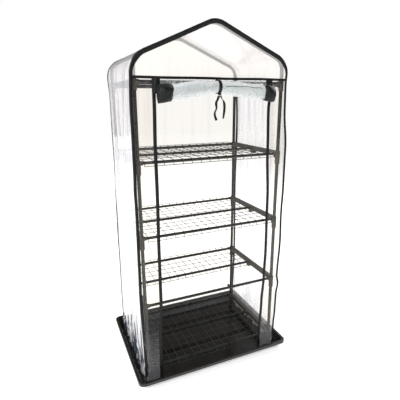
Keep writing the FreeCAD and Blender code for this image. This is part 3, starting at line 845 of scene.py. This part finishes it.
@dataclass(frozen=True)
class RoofSection:
    """The cover's cross-section: upright walls, round shoulders, straight slopes and a
    round ridge."""

    layout: Layout
    shoulder_rise: float = 93 * MM
    ridge_rise: float = 237 * MM
    tube_radius: float = 8 * MM
    tube_gap: float = 1.25 * MM
    shoulder_bend: float = 92.25 * MM
    ridge_bend: float = 94.25 * MM

    @property
    def slope(self) -> float:
        """The roof's pitch in radians."""
        return math.atan2(self.ridge_rise - self.shoulder_rise, self.layout.post_x)

    def corners(self, out: float) -> tuple[tuple[float, float], float]:
        """The sharp shoulder corner and ridge height of the section moved outwards.

        Args:
            out: How far outwards, in metres.

        Returns:
            The right shoulder's (x, z) and the ridge's z.
        """
        lift = (self.tube_radius + self.tube_gap + out) / math.cos(self.slope)
        peak = self.layout.eave + self.ridge_rise + lift
        x = self.layout.film_x + out
        return (x, peak - x * math.tan(self.slope)), peak

    def line(self, low: float, out: float = 0.0, step: float = 12 * MM) -> list[tuple[Vector, Vector]]:
        """Points and outward normals in the XZ plane, from the left foot over the ridge.

        Args:
            low: The height of both feet.
            out: How far the line is moved outwards.
            step: The spacing of points on the straight runs.

        Returns:
            Pairs of point and unit normal, with Y 0.
        """
        (x, z), peak = self.corners(out)
        shoulder = self.shoulder_bend + out
        ridge = self.ridge_bend + out
        turn = math.pi / 2 - self.slope
        reach = shoulder * math.tan(turn / 2)
        centre = Vector((x - shoulder, 0, z - reach))
        right = [(Vector((x, 0, h)), Vector((1, 0, 0)))
                 for h in spread(low, z - reach, max(3, round((z - reach - low) / step)))]
        for angle in spread(0, turn, 12)[1:]:
            normal = Vector((math.cos(angle), 0, math.sin(angle)))
            right.append((centre + normal * shoulder, normal))
        slope_normal = Vector((math.sin(self.slope), 0, math.cos(self.slope)))
        top = Vector((0, 0, peak - ridge / math.cos(self.slope)))
        ridge_start = top + slope_normal * ridge
        last = right[-1][0]
        for t in spread(0, 1, max(3, round((ridge_start - last).length / step)))[1:]:
            right.append((last.lerp(ridge_start, t), slope_normal.copy()))
        for angle in spread(math.pi / 2 - self.slope, math.pi / 2, 7)[1:]:
            normal = Vector((math.cos(angle), 0, math.sin(angle)))
            right.append((top + normal * ridge, normal))
        left = [(Vector((-p.x, 0, p.z)), Vector((-n.x, 0, n.z))) for p, n in right[:-1]]
        return left + right[::-1]

    def half_width(self, z: float) -> float:
        """Half the section's width at a height.

        Args:
            z: The height.

        Returns:
            The width from the middle to the film.
        """
        right = [p for p, _ in self.line(self.layout.hem) if p.x >= 0]
        for upper, lower in zip(right, right[1:]):
            if lower.z <= z <= upper.z and upper.z > lower.z:
                t = (z - lower.z) / (upper.z - lower.z)
                return lower.x + (upper.x - lower.x) * t
        return self.layout.film_x if z < right[-1].z + 1e-6 else right[0].x


# ---- cover


@dataclass(frozen=True)
class Drape:
    """How the loose film hangs: one displacement over all of space, so that panels,
    bindings and zips that meet stay joined. Edge sways are (height, sideways shift)."""

    layout: Layout
    front_left: tuple = (
        (0.0, 0.002), (0.5, -0.001), (1.0, 0.0), (1.3, 0.0), (1.37, 0.002), (1.42, 0.005), (1.6, 0.0))
    front_right: tuple = (
        (0.0, -0.006), (0.12, -0.006), (0.2, 0.0), (0.3, 0.001), (0.363, 0.009), (0.41, 0.0), (0.6, 0.006),
        (0.75, 0.002), (0.86, 0.006), (1.05, 0.004), (1.23, -0.008), (1.34, -0.008), (1.42, -0.002),
        (1.6, -0.001))
    rear_left: tuple = (
        (0.0, -0.001), (0.18, -0.002), (0.5, 0.001), (0.77, 0.004), (1.0, 0.008), (1.3, 0.008), (1.45, 0.0))
    rear_right: tuple = ((0.0, 0.0), (0.35, 0.006), (0.8, 0.002), (1.2, 0.007), (1.45, 0.0))
    zip_left: tuple = (
        (0.0, -0.009), (0.2, -0.009), (0.41, 0.001), (0.66, 0.001), (0.9, 0.003), (1.1, 0.002), (1.28, 0.005),
        (1.36, 0.005))
    zip_right: tuple = (
        (0.0, -0.010), (0.08, -0.009), (0.28, -0.001), (0.42, 0.007), (0.56, 0.010), (0.82, 0.007),
        (1.06, -0.004), (1.24, -0.009), (1.3, -0.004), (1.36, -0.002))
    crease: float = 5 * MM
    billow: float = 4 * MM
    wrinkle: float = 10 * MM
    fine_wrinkle: float = 5 * MM
    foot_tall: float = 160 * MM
    edge_reach: float = 0.05
    eave_margin: float = 0.02
    eave_fade: float = 0.12
    zip_margin: float = 0.008
    zip_fade: float = 0.03
    tuck_side: float = 1.5 * MM
    tuck_end: float = 1.0 * MM

    def sway(self, x: float, y: float, z: float) -> float:
        """The sideways shift of the hanging edges, spread over the panels between.

        Args:
            x: The place across the greenhouse.
            y: The place from door to back.
            z: The height.

        Returns:
            The shift along X.
        """
        lay = self.layout
        front = blend_between((
            (-lay.film_x, blend_between(self.front_left, z)), (-lay.zip_x, blend_between(self.zip_left, z)),
            (lay.zip_x, blend_between(self.zip_right, z)), (lay.film_x, blend_between(self.front_right, z)),
        ), x)
        rear = blend_between((
            (-lay.film_x, blend_between(self.rear_left, z)), (lay.film_x, blend_between(self.rear_right, z)),
        ), x)
        v = smooth((y + lay.film_y) / (2 * lay.film_y))
        return front + (rear - front) * v

    def ridges(self, u: float, z: float, seed: float) -> float:
        """Long creases that run down the film.

        Args:
            u: The place along the panel.
            z: The height.
            seed: Which panel it is.

        Returns:
            0 on the flat, up to about 1 on a crease.
        """
        lean = 0.35 * noise.noise(Vector((0.0, z * 0.9, seed)))
        coarse = noise.noise(Vector((u * 9 + lean, z * 0.8, seed)))
        fine = noise.noise(Vector((u * 23 + 2 * lean, z * 1.7, seed + 7)))
        return (1 - min(1.0, abs(coarse) * 3.2)) ** 2 * 0.7 + (1 - min(1.0, abs(fine) * 3.5)) ** 2 * 0.4

    def foot(self, z: float) -> float:
        """1 at the hem, where the film crumples on the tray, and 0 above it."""
        return 1 - smooth((z - self.layout.hem) / self.foot_tall)

    def shift(self, p: Vector) -> Vector:
        """Where a point of the cut film hangs.

        Args:
            p: The point on the flat panel.

        Returns:
            The point once hung.
        """
        lay = self.layout
        on_side = smooth((abs(p.x) - lay.film_x + self.edge_reach) / self.edge_reach)
        on_end = smooth((abs(p.y) - lay.film_y + self.edge_reach) / self.edge_reach)
        below_eave = 1 - smooth((p.z - lay.header_low + self.eave_margin) / self.eave_fade)
        at_zip = 0.0
        if p.y < 0:
            at_zip = 1 - smooth((abs(abs(p.x) - lay.zip_x) - self.zip_margin) / self.zip_fade)
        side, end = math.copysign(1, p.x), math.copysign(1, p.y)
        loose = (0.25 + 0.75 * below_eave) * (1 - 0.85 * at_zip)
        crumple = self.foot(p.z) * (1 - 0.7 * at_zip)
        up_wall = min(max((p.z - lay.hem) / lay.header_low, 0), 1)
        billow = self.billow * math.sin(up_wall * math.pi) * below_eave
        out_x = self.ridges(p.y, p.z, 3 + side) * self.crease + billow - self.tuck_side
        out_y = self.ridges(p.x, p.z, 11 + end) * self.crease + billow * 0.5 - self.tuck_end
        rough = Vector((p.x * 28, p.y * 28, p.z * 34))
        fine = noise.noise(rough * 1.9) * self.fine_wrinkle
        wrinkle_x = (noise.noise(rough) * self.wrinkle + fine) * crumple
        wrinkle_y = (noise.noise(rough + Vector((5, 9, 2))) * self.wrinkle + fine) * crumple
        return Vector((
            p.x + side * on_side * loose * out_x + self.sway(p.x, p.y, p.z) + wrinkle_x,
            p.y + end * on_end * loose * out_y + wrinkle_y * on_end,
            p.z,
        ))


@dataclass
class BoundEdges:
    """Black tape folded over the film's raw edge at both ends and sewn down."""

    layout: Layout
    section: RoofSection
    drape: Drape
    finishes: Finishes
    wall_face: float = 10 * MM
    roof_face: float = 16.5 * MM
    rear_face: float = 6 * MM
    wrap: float = 9 * MM
    thick: float = 1.0 * MM
    stitch_inset: float = 2 * MM
    stitch_pitch: float = 6 * MM
    stitch: tuple[float, float, float] = (3.6 * MM, 0.9 * MM, 0.7 * MM)

    def face(self, end: End, normal: Vector) -> float:
        """How far the tape reaches in over the end panel: wider along the front of the roof.

        Args:
            end: Which end.
            normal: The cover's outward normal there.

        Returns:
            The reach.
        """
        if end is End.REAR:
            return self.rear_face
        return self.wall_face + (self.roof_face - self.wall_face) * smooth(normal.z / 0.7)

    def edge(self, end: End) -> list[tuple[Vector, Vector]]:
        """The hung edge of the cover at one end, with its outward normals."""
        y = end.value * self.layout.film_y
        return [(self.drape.shift(Vector((p.x, y, p.z))), n) for p, n in self.section.line(self.layout.hem)]

    def build(self) -> list[Object]:
        """Make both tapes.

        Returns:
            The tapes, which go with the film.
        """
        t = self.thick
        profile = ((0.0, 1.5 * t), (1.5 * t, 0.6 * t), (1.5 * t, -self.wrap), (0.4 * t, -self.wrap),
                   (0.3 * t, 0.2 * t))
        made = []
        for end in End:
            away = Vector((0, end.value, 0))
            rows, seam = [], []
            for p, n in self.edge(end):
                face = self.face(end, n)
                inner = [p - n * face, p - n * face + away * 1.5 * t]
                rows.append(inner + [p + n * a + away * b for a, b in profile])
                seam.append(p - n * (face - self.stitch_inset) + away * 1.5 * t)
            tape = joined(f"edge_binding_{end.word}",
                          [capped_tube(rows), *studded(seam, self.stitch_pitch, away, self.stitch)])
            made.append(fit(tape, self.finishes.tape, TAPE_SLOT, "cover", "cover_binding"))
        return made


@dataclass
class DoorHeader:
    """The sewn seam that the door hangs from."""

    layout: Layout
    drape: Drape
    finishes: Finishes
    inset: float = 4 * MM
    thick: float = 1.2 * MM
    wave: float = 1.5 * MM
    stitch_pitch: float = 5 * MM
    stitch: tuple[float, float, float] = (3.2 * MM, 0.8 * MM, 0.7 * MM)

    def build(self) -> Object:
        """Make the folded tape and its two rows of stitches.

        Returns:
            The tape.
        """
        lay = self.layout
        half = lay.film_x - self.inset
        tall = (lay.header_high - lay.header_low) / 2
        rows, seams = [], ([], [])
        for x in spread(-half, half, 150):
            p = self.drape.shift(Vector((x, -lay.film_y, lay.header)))
            p.z += self.wave * noise.noise(Vector((x * 7, 4.0, 1.0)))
            front, back = p.y - self.thick, p.y + 0.1 * MM
            rows.append([Vector((p.x, y, p.z + h)) for y, h in (
                (back, -tall), (front, -tall), (front - 0.5 * MM, 0), (front, tall), (back, tall))])
            for seam, h in zip(seams, (-0.6 * tall, 0.6 * tall)):
                seam.append(Vector((p.x, front - 0.3 * MM, p.z + h)))
        parts = [capped_tube(rows)]
        for seam in seams:
            parts += studded(seam, self.stitch_pitch, OUT_OF_DOOR, self.stitch)
        return fit(joined("door_header_seam", parts), self.finishes.tape, TAPE_SLOT, "cover", "door_header")


@dataclass
class DoorZip:
    """One side's zip: a woven tape with the coil's teeth on its free edge."""

    side: Side
    layout: Layout
    drape: Drape
    finishes: Finishes
    thick: float = 1.2 * MM
    tooth_pitch: float = 3.2 * MM
    tooth: tuple[float, float, float] = (2.0 * MM, 3.2 * MM, 2.2 * MM)

    def build(self) -> Object:
        """Make the tape with its teeth, which are a little coarser than real ones, so they show.

        Returns:
            The tape.
        """
        lay, sign = self.layout, self.side.value
        rows, free = [], []
        for z in spread(lay.hem, lay.header_low + 2 * MM, 260):
            out, inn = (self.drape.shift(Vector((sign * (lay.zip_x + way * lay.zip_half), -lay.film_y, z)))
                        for way in (1, -1))
            inn.x = out.x - sign * 2 * lay.zip_half
            mid = (inn + out) / 2
            rows.append([
                Vector((out.x, out.y + 0.1 * MM, z)), Vector((out.x, out.y - self.thick, z)),
                Vector((mid.x, mid.y - self.thick - 0.4 * MM, z)), Vector((inn.x, inn.y - self.thick, z)),
                Vector((inn.x, inn.y + 0.1 * MM, z)),
            ])
            free.append(Vector((inn.x + sign * 0.6 * MM, inn.y - 0.5 * MM, z)))
        tape = joined(f"zip_{self.side.word}",
                      [capped_tube(rows), *studded(free, self.tooth_pitch, OUT_OF_DOOR, self.tooth)])
        return fit(tape, self.finishes.tape, TAPE_SLOT, "cover", f"zip_tape_{self.side.word}")


@dataclass
class FilmCover:
    """The clear film, cut as one strip over the roof and down both walls, a back, a
    gable over the door and a strip each side of the door."""

    layout: Layout
    section: RoofSection
    drape: Drape
    finishes: Finishes
    column: float = 9 * MM
    row: float = 11 * MM
    strip_row: float = 8 * MM

    def hang(self, name: str, rows: Sequence[Sequence[Vector]], material: Material,
             nodes: Sequence[str]) -> None:
        """Drape one panel and put it in the place of its plain solids.

        Args:
            name: The panel's name.
            rows: Its flat points.
            material: Its finish.
            nodes: The plain solids that it stands for.
        """
        panel = mesh_object(name, *quad_grid([[self.drape.shift(p) for p in r] for r in rows]))
        fit(panel, material, FILM_SLOT, "cover", *nodes)

    def shell(self) -> None:
        """The strip over the roof and down both walls.
        """
        lay = self.layout
        line = [p for p, _ in self.section.line(lay.hem, step=self.row)]
        across = spread(-lay.film_y, lay.film_y, round(2 * lay.film_y / self.column))
        rows = [[Vector((p.x, y, p.z)) for y in across] for p in line]
        self.hang("film_shell", rows, self.finishes.side_film,
                  ["cover_wall_left", "cover_wall_right", "cover_roof_left", "cover_roof_right"])

    def end_panel(self, end: End, low: float, name: str, node: str,
                  material: Material | None = None) -> None:
        """A flat end under the roof line.

        Args:
            end: Which end.
            low: The height of its lower edge.
            name: The panel's name.
            node: The plain solid that it stands for.
            material: Its finish, if it isn't the clearest film.
        """
        lay = self.layout
        peak = max(p.z for p, _ in self.section.line(lay.hem))
        heights = spread(low, peak - 1 * MM, round((peak - low) / self.row))
        columns = spread(-1, 1, round(2 * lay.film_x / self.column))
        y = end.value * lay.film_y
        halves = [self.section.half_width(z) for z in heights]
        rows = [[Vector((half * c, y, z)) for c in columns] for half, z in zip(halves, heights)]
        self.hang(name, rows, material or self.finishes.film, [node])

    def front_strip(self, side: Side) -> None:
        """The narrow panel between a zip and a corner.

        Args:
            side: Which side.
        """
        lay = self.layout
        inner = lay.zip_x + lay.zip_half - 1 * MM
        heights = spread(lay.hem, lay.header_high, round((lay.header_high - lay.hem) / self.strip_row))
        columns = spread(inner, lay.film_x, 14)
        rows = [[Vector((side.value * x, -lay.film_y, z)) for x in columns] for z in heights]
        self.hang(f"film_front_strip_{side.word}", rows, self.finishes.film,
                  [f"cover_front_{side.word}"])

    def build(self) -> None:
        """Hang every panel."""
        edges = BoundEdges(self.layout, self.section, self.drape, self.finishes).build()
        header = DoorHeader(self.layout, self.drape, self.finishes).build()
        self.shell()
        self.end_panel(End.REAR, self.layout.hem, "film_back", "cover_back")
        self.end_panel(End.FRONT, self.layout.header_high - 1 * MM, "film_gable", "cover_gable_front",
                       self.finishes.gable_film)
        for side in Side:
            tape = DoorZip(side, self.layout, self.drape, self.finishes).build()
            self.front_strip(side)


# ---- door


@dataclass
class RolledDoor:
    """The door, rolled up from its foot into a loose spiral that hangs from the header."""

    layout: Layout
    drape: Drape
    finishes: Finishes
    middle_drop: float = 33 * MM
    end_drop: float = 61 * MM
    ring_outer: float = 27.4 * MM
    waist: float = 24.8 * MM
    waist_half: float = 10 * MM
    end_tall: float = 35 * MM
    end_deep: float = 29.5 * MM
    core: float = 6 * MM
    turns: int = 9
    per_turn: int = 26
    tape_long: float = 52 * MM
    tape_half: float = 13 * MM
    overlap: float = 5 * MM
    film_inset: float = 2 * MM
    fold: float = 9 * MM
    swell_long: float = 95 * MM
    held_long: float = 60 * MM
    crumple_mm: float = 6.5
    fine_mm: float = 3.0
    settle_mm: float = 1.5
    thinnest: float = 2 * MM

    def middle(self) -> Vector:
        """The roll's centre where the tie holds it."""
        return Vector((0, self.layout.roll_back - self.ring_outer, self.layout.header - self.middle_drop))

    def shape(self, x: float) -> tuple[Vector, float, float]:
        """The roll's shape at a place along it.

        Args:
            x: The place.

        Returns:
            Its centre, half depth and half height there.
        """
        lay = self.layout
        t = min(abs(x) / lay.roll_half, 1.0)
        swell = smooth((abs(x) - self.waist_half) / self.swell_long)
        deep = self.waist + (self.end_deep - self.waist) * (0.55 * swell + 0.45 * t)
        tall = self.waist + (self.end_tall - self.waist) * (0.6 * swell + 0.4 * t)
        centre = self.middle()
        centre.x = x
        centre.y = lay.roll_back - max(self.ring_outer * (1 - t), deep + 0.6 * MM)
        centre.z -= (self.end_drop - self.middle_drop) * t ** 1.15
        return centre, deep, tall

    def at(self, x: float, turn: float, proud: float = 0.0) -> Vector:
        """A point of the spiral.

        Args:
            x: The place along the roll.
            turn: How many turns in from the outer end, which starts at the back.
            proud: How far outside the spiral, in metres.

        Returns:
            The point.
        """
        centre, deep, tall = self.shape(x)
        angle = 2 * math.pi * turn
        inward = turn / self.turns
        held = smooth((abs(x) - self.waist_half) / self.held_long)
        free = Vector((x * 11, math.cos(angle) * 1.3 + turn * 0.15, math.sin(angle) * 1.3))
        fine = Vector((x * 42, math.cos(angle) * 4.0, math.sin(angle) * 4.0 + turn))
        ridge = (1 - min(1.0, abs(noise.noise(fine * 0.6)) * 4)) ** 2
        crumple = (noise.noise(free) * self.crumple_mm + noise.noise(fine) * self.fine_mm
                   + ridge * self.fine_mm - self.settle_mm) * MM * held
        crumple *= (1 - inward) ** 0.5
        # The back faces the cover and has little room to crumple.
        at_back = math.cos(angle) > 0.5
        crumple = min(crumple, self.settle_mm * MM) if at_back else crumple
        ry = max(deep + (self.core - deep) * inward + crumple + proud, self.thinnest)
        rz = max(tall + (self.core - tall) * inward + crumple + proud, self.thinnest)
        return centre + Vector((0, math.cos(angle) * ry, -math.sin(angle) * rz))

    def spiral(self) -> None:
        """The rolled film."""
        lay = self.layout
        rows = []
        for u in spread(-1, 1, 130):
            row = []
            for i in range(self.turns * self.per_turn + 1):
                turn = i / self.per_turn
                row.append(self.at(u * (lay.roll_half - self.tape_reach(turn) + self.overlap), turn))
            rows.append(row)
        roll = mesh_object("rolled_film", *quad_grid(rows))
        fit(roll, self.finishes.door_film, FILM_SLOT, "door_roll", "door_roll")

    def tape_reach(self, turn: float) -> float:
        """How far the wound edge tape reaches in from the roll's end, less towards the core."""
        return self.tape_long * (1 - 0.55 * turn / self.turns)

    def end_tapes(self, side: Side) -> None:
        """The door's edge tape and zip, which wind up with the film into a black coil.

        Args:
            side: Which end of the roll.
        """
        face = 1.0 * MM
        parts = []
        for first in range(self.turns):
            reach = self.tape_reach(first)
            outline = ((face, 0.8), (face, -0.8), (reach, -0.6), (reach, 0.6), (reach / 2, 1.0))
            rows = []
            for i in range(self.per_turn + 1):
                turn = first + i / self.per_turn
                push = 1.2 * MM * math.sin(turn * 2.1)
                rows.append([
                    self.at(side.value * min(self.layout.roll_half - depth + (push if depth == face else 0.0),
                                             self.layout.roll_half), turn, proud * MM)
                    for depth, proud in outline])
            parts.append(capped_tube(rows))
        tape = joined(f"roll_end_tape_{side.word}", parts)
        fit(tape, self.finishes.tape, TAPE_SLOT, "door_roll", "door_roll_ends")

    def dark_roll_line(self) -> None:
        """A thin black strip along the front of the roll's right half."""
        line = [self.at(x, 0.5 + 0.04 * math.sin(x * 9) + 0.05 * (x / self.layout.roll_half), 0.4 * MM)
                for x in spread(0.02, 0.19, 40)]
        # hem holds the black strip along the roll's front.
        hem = joined("roll_dark_line", [ribbon(line, [UP] * len(line), 1.8 * MM, 0.9 * MM)])
        fit(hem, self.finishes.tape, TAPE_SLOT, "door_roll", "door_roll")

    def gathered(self) -> list[list[Vector]]:
        """The film between header and roll, gathered in towards the tie.

        Returns:
            Its rows of points, top first.
        """
        lay = self.layout
        half, top = lay.roll_half - self.film_inset, lay.header_low + 3 * MM
        rows = []
        for t in spread(0, 1, 16):
            deep = self.fold * math.sin(math.pi * min(t * 1.3, 1.0)) * (1 - smooth((t - 0.5) / 0.3))
            row = []
            for x in spread(-half, half, 150):
                start = self.drape.shift(Vector((x, -lay.film_y, top)))
                p = start.lerp(self.at(x, 0.0, 0.4 * MM), t)
                fan = x / (1.15 - 0.5 * t)
                broad = noise.noise(Vector((fan * 26, 3.0, 0.6 * t)))
                fine = noise.noise(Vector((fan * 60, 8.0, t)))
                p.y -= abs(broad + 0.5 * fine) * deep
                row.append(p)
            rows.append(row)
        return rows

    def hanging(self) -> None:
        """The gathered film and its edge tapes, which join the header to the roll."""
        rows = self.gathered()
        film = mesh_object("hanging_door_film", *quad_grid(rows))
        edges = []
        for side in Side:
            column = 1 if side is Side.LEFT else len(rows[0]) - 2
            line = [r[column] + Vector((side.value * 5 * MM, -0.7 * MM, 0)) for r in rows]
            across = [Vector((1, 0, 0))] * len(line)
            tape = joined(f"hanging_door_tape_{side.word}",
                          [ribbon(line, across, self.tape_half * 2, 1.0 * MM)])
            edges.append(fit(tape, self.finishes.tape, TAPE_SLOT, None, "door_tapes"))
        fit(film, self.finishes.door_film, FILM_SLOT, None, "door_film")
        for piece in (film, *edges):
            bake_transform(piece)

    def build(self) -> None:
        """Make the roll and the film that it hangs by."""
        self.spiral()
        for side in Side:
            self.end_tapes(side)
        self.dark_roll_line()
        self.hanging()


@dataclass(frozen=True)
class DoorTie:
    """A ribbon tied round the roll, with two loose ends. Their points are offsets from the knot."""

    door: RolledDoor
    finishes: Finishes
    bore: float = 26.2 * MM
    wide: float = 14 * MM
    slack: float = 0.3 * MM
    band_steps: int = 48
    knot_out: float = 32.8 * MM
    knot_angle: float = math.radians(60)
    knot_radius: float = 6 * MM
    aside: float = 5 * MM
    tail_wide: float = 10 * MM
    tail_thick: float = 0.7 * MM
    left: tuple = ((-4, 0, -7), (-8, -2, -19), (-18, -1, -34), (-12, 0, -56), (-27, -1, -78), (-13, 1, -103))
    right: tuple = ((4, 0, -7), (9, -2, -18), (20, -1, -32), (23, 0, -60), (17, 1, -97))

    def knot(self) -> Vector:
        """The knot's middle, low at the front of the roll."""
        out = Vector((0, -math.cos(self.knot_angle), -math.sin(self.knot_angle)))
        return self.door.middle() + out * self.knot_out - Vector((self.aside, 0, 0))

    def tail(self, side: Side) -> None:
        """One loose end of the ribbon.

        Args:
            side: Which way it falls.
        """
        knot = self.knot()
        path = curved([knot + Vector(o) * MM for o in (self.left if side is Side.LEFT else self.right)])
        across = []
        for i in range(len(path)):
            twist = side.value * (0.2 + 0.75 * math.sin(2.2 * i / len(path) * math.pi))
            across.append(Vector((math.cos(twist), math.sin(twist) * 0.8, 0.15)))
        tail = joined(f"tie_end_{side.word}", [ribbon(path, across, self.tail_wide, self.tail_thick)])
        fit(tail, self.finishes.ribbon, TAPE_SLOT, "door_roll", f"door_tie_end_{side.word}")

    def band_rings(self) -> list[list[Vector]]:
        """The ribbon round the roll, a little slack and skewed.

        Returns:
            Rings of points round its section, one after another round the roll.
        """
        middle = self.door.middle()
        outline = ((-1, 0), (-1, 0.8), (-0.4, 1.3), (0.3, 0.9), (1, 1.1), (1, 0), (0, 0.2))
        rings = []
        for i in range(self.band_steps + 1):
            angle = 2 * math.pi * i / self.band_steps
            out = Vector((0, math.cos(angle), math.sin(angle)))
            slack = self.slack * (1 + math.sin(angle * 3))
            sway = self.slack * math.sin(angle * 2) - self.aside
            rings.append([
                middle + Vector((x * self.wide / 2 + sway, 0, 0)) + out * (self.bore + slack + r * MM)
                for x, r in outline])
        return rings

    def knot_rings(self) -> list[list[Vector]]:
        """The knot, as a ball with folds in it.

        Returns:
            Rings of points from its top to its foot.
        """
        knot, rings = self.knot(), []
        for i in spread(0.12, math.pi - 0.12, 11):
            ring = []
            for a in (2 * math.pi * j / 18 for j in range(18)):
                fold = 1 + 0.22 * noise.noise(Vector((math.cos(a) * 2.2, math.sin(a) * 2.2, i * 2))) \
                    + 0.1 * math.cos(5 * a + i * 3)
                ring.append(knot + Vector((math.sin(i) * math.cos(a) * 1.25, math.sin(i) * math.sin(a),
                                           math.cos(i) * 0.95)) * self.knot_radius * fold)
            rings.append(ring)
        return rings

    def band(self) -> None:
        """The ribbon round the roll, with its knot."""
        tie = joined("tie_band", [capped_tube(self.band_rings()), capped_tube(self.knot_rings())])
        fit(tie, self.finishes.ribbon, TAPE_SLOT, "door_roll", "door_tie")

    def build(self) -> None:
        """Make the loose ends, then the band and knot."""
        for side in Side:
            self.tail(side)
        self.band()


@dataclass(frozen=True)
class PostTie:
    """A short ribbon that ties the cover to a post, in a bow."""

    end: End
    finishes: Finishes
    rise: float
    bore: float = 8.2 * MM
    wide: float = 8 * MM
    thick: float = 0.8 * MM
    loop: float = 17 * MM
    tail: float = 26 * MM
    knot_out: float = 5 * MM
    knot: tuple[float, float, float] = (9 * MM, 7 * MM, 6 * MM)

    def build(self) -> None:
        """Make the band, the two loops, the knot and the short tails."""
        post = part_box(f"post_{self.end.word}_right")
        middle = Vector(((post[0][0] + post[1][0]) / 2, (post[0][1] + post[1][1]) / 2, self.rise))
        line = [middle + Vector((math.cos(a), math.sin(a), 0)) * (self.bore + self.thick)
                for a in spread(0, 2 * math.pi, 33)]
        line = [p + UP * 0.8 * MM * math.sin(3 * i) for i, p in enumerate(line)]
        parts = [ribbon(line, [UP] * len(line), self.wide, self.thick)]
        face = Vector((-1, 0, 0))
        knot = middle + face * (self.bore + self.knot_out)
        for way in (-1, 1):
            side = Vector((0, way, 0))
            loop = [knot + (side * math.sin(a) + UP * 0.5 * math.sin(2 * a)) * self.loop * 0.8
                    + face * 2 * MM * math.sin(a) for a in spread(0.05, math.pi - 0.05, 17)]
            parts.append(ribbon(loop, [face + side * 0.3] * len(loop), self.wide * 0.8, self.thick))
            fall = [knot + side * self.tail * t * 0.45 - UP * self.tail * t + face * 3 * MM * math.sin(t * 5)
                    for t in spread(0, 1, 12)]
            parts.append(ribbon(fall, [side + face * 0.6] * len(fall), self.wide * 0.75, self.thick))
        parts.append(block(knot, UP, face, self.knot))
        bow = joined(f"post_tie_{self.end.word}", parts)
        fit(bow, self.finishes.ribbon, TAPE_SLOT, "frame", "post_ties")


# ---- studio


@dataclass(frozen=True)
class Studio:
    """A pale floor, soft light and the camera."""

    eye: tuple[float, float, float] = (-0.6738, -1.6194, 1.2779)
    yaw: float = 23.44
    pitch: float = -15.5
    roll: float = -0.33
    lens: float = 32.28
    backdrop: float = 1.0
    surroundings: float = 0.24
    floor_half: float = 12.0
    aim: tuple[float, float, float] = (0, 0, 0.8)

    def floor(self) -> None:
        """A wide sheet of pale paper under the tray."""
        half = self.floor_half
        corners = [Vector((x, y, 0)) for x, y in ((-half, -half), (half, -half), (half, half), (-half, half))]
        sheet = mesh_object("studio_floor", corners, [(0, 1, 2, 3)])
        sheet.data.materials.append(StudioFloor().build())

    def light(self, name: str, place: tuple[float, float, float], size: float, watts: float) -> None:
        """A square soft light aimed at the middle of the greenhouse.

        Args:
            name: The light's name.
            place: Where it stands.
            size: Its side.
            watts: Its power.
        """
        lamp = bpy.data.lights.new(name, "AREA")
        lamp.size = size
        lamp.energy = watts
        obj = bpy.data.objects.new(name, lamp)
        obj.location = place
        obj.rotation_mode = "QUATERNION"
        obj.rotation_quaternion = (Vector(self.aim) - Vector(place)).to_track_quat("-Z", "Y")
        bpy.context.collection.objects.link(obj)

    def camera(self) -> None:
        """The camera, at a standing person's height, left of the door."""
        data = bpy.data.cameras.new("camera")
        data.lens = self.lens
        data.sensor_width = 36.0
        obj = bpy.data.objects.new("camera", data)
        turn = (Matrix.Rotation(math.radians(-self.yaw), 4, "Z")
                @ Matrix.Rotation(math.radians(90 + self.pitch), 4, "X")
                @ Matrix.Rotation(math.radians(self.roll), 4, "Z"))
        obj.matrix_world = Matrix.Translation(Vector(self.eye)) @ turn
        bpy.context.collection.objects.link(obj)
        bpy.context.scene.camera = obj

    def world(self) -> None:
        """A white backdrop for the camera, and dim surroundings for what mirrors them."""
        world = bpy.data.worlds.new("studio")
        world.use_nodes = True
        tree = world.node_tree
        tree.nodes.clear()
        white, dim = (
            add_node(tree, "ShaderNodeBackground", {"Color": (1, 1, 1, 1), "Strength": strength})
            for strength in (self.backdrop, self.surroundings)
        )
        path = add_node(tree, "ShaderNodeLightPath")
        seen = add_node(tree, "ShaderNodeMixShader", {
            0: path.outputs["Is Camera Ray"], 1: dim.outputs["Background"], 2: white.outputs["Background"],
        })
        add_node(tree, "ShaderNodeOutputWorld", {"Surface": seen.outputs["Shader"]})
        bpy.context.scene.world = world

    def build(self) -> None:
        """Set the studio up."""
        self.floor()
        self.camera()
        self.world()
        bpy.context.scene.view_settings.view_transform = "Standard"
        self.light("key_softbox", (-2.6, -3.2, 3.6), 2.0, 190)
        self.light("side_softbox", (-4.2, 0.6, 2.4), 1.6, 110)
        self.light("rim_softbox", (3.2, 1.6, 3.0), 1.6, 110)


# ---- dressing the frame


@dataclass(frozen=True)
class TubeFrame:
    """The hard parts that come with the frame, given their finishes."""

    finishes: Finishes

    def dress(self) -> None:
        """Put the right finish on every hard node."""
        by_start = (
            ("post_", self.finishes.tube), ("shelf_tube_", self.finishes.tube),
            ("eave_bar_", self.finishes.tube), ("roof_arch_", self.finishes.tube),
            ("side_rail_", self.finishes.connector), ("foot_plugs", self.finishes.connector),
            ("wire_shelf_", self.finishes.wire), ("tray", self.finishes.tray),
            ("zip_slider", self.finishes.metal), ("zip_pull", self.finishes.metal),
        )
        for name, obj in frame["nodes"].items():
            for start, material in by_start:
                if name.startswith(start):
                    obj.data.materials.clear()
                    obj.data.materials.append(material)
                    break


def main() -> None:
    """Build everything in order."""
    logging.basicConfig(level=logging.INFO, format="%(name)s: %(message)s")
    finishes = Finishes.build()
    layout = Layout.from_frame()
    section = RoofSection(layout)
    drape = Drape(layout)
    Studio().build()
    door = RolledDoor(layout, drape, finishes)
    DoorTie(door, finishes).build()
    door.build()
    TubeFrame(finishes).dress()
    FilmCover(layout, section, drape, finishes).build()
    PostTie(End.FRONT, finishes, rise=102 * MM).build()
    PostTie(End.REAR, finishes, rise=128 * MM).build()


if __name__ == "__main__":
    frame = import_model()
    main()
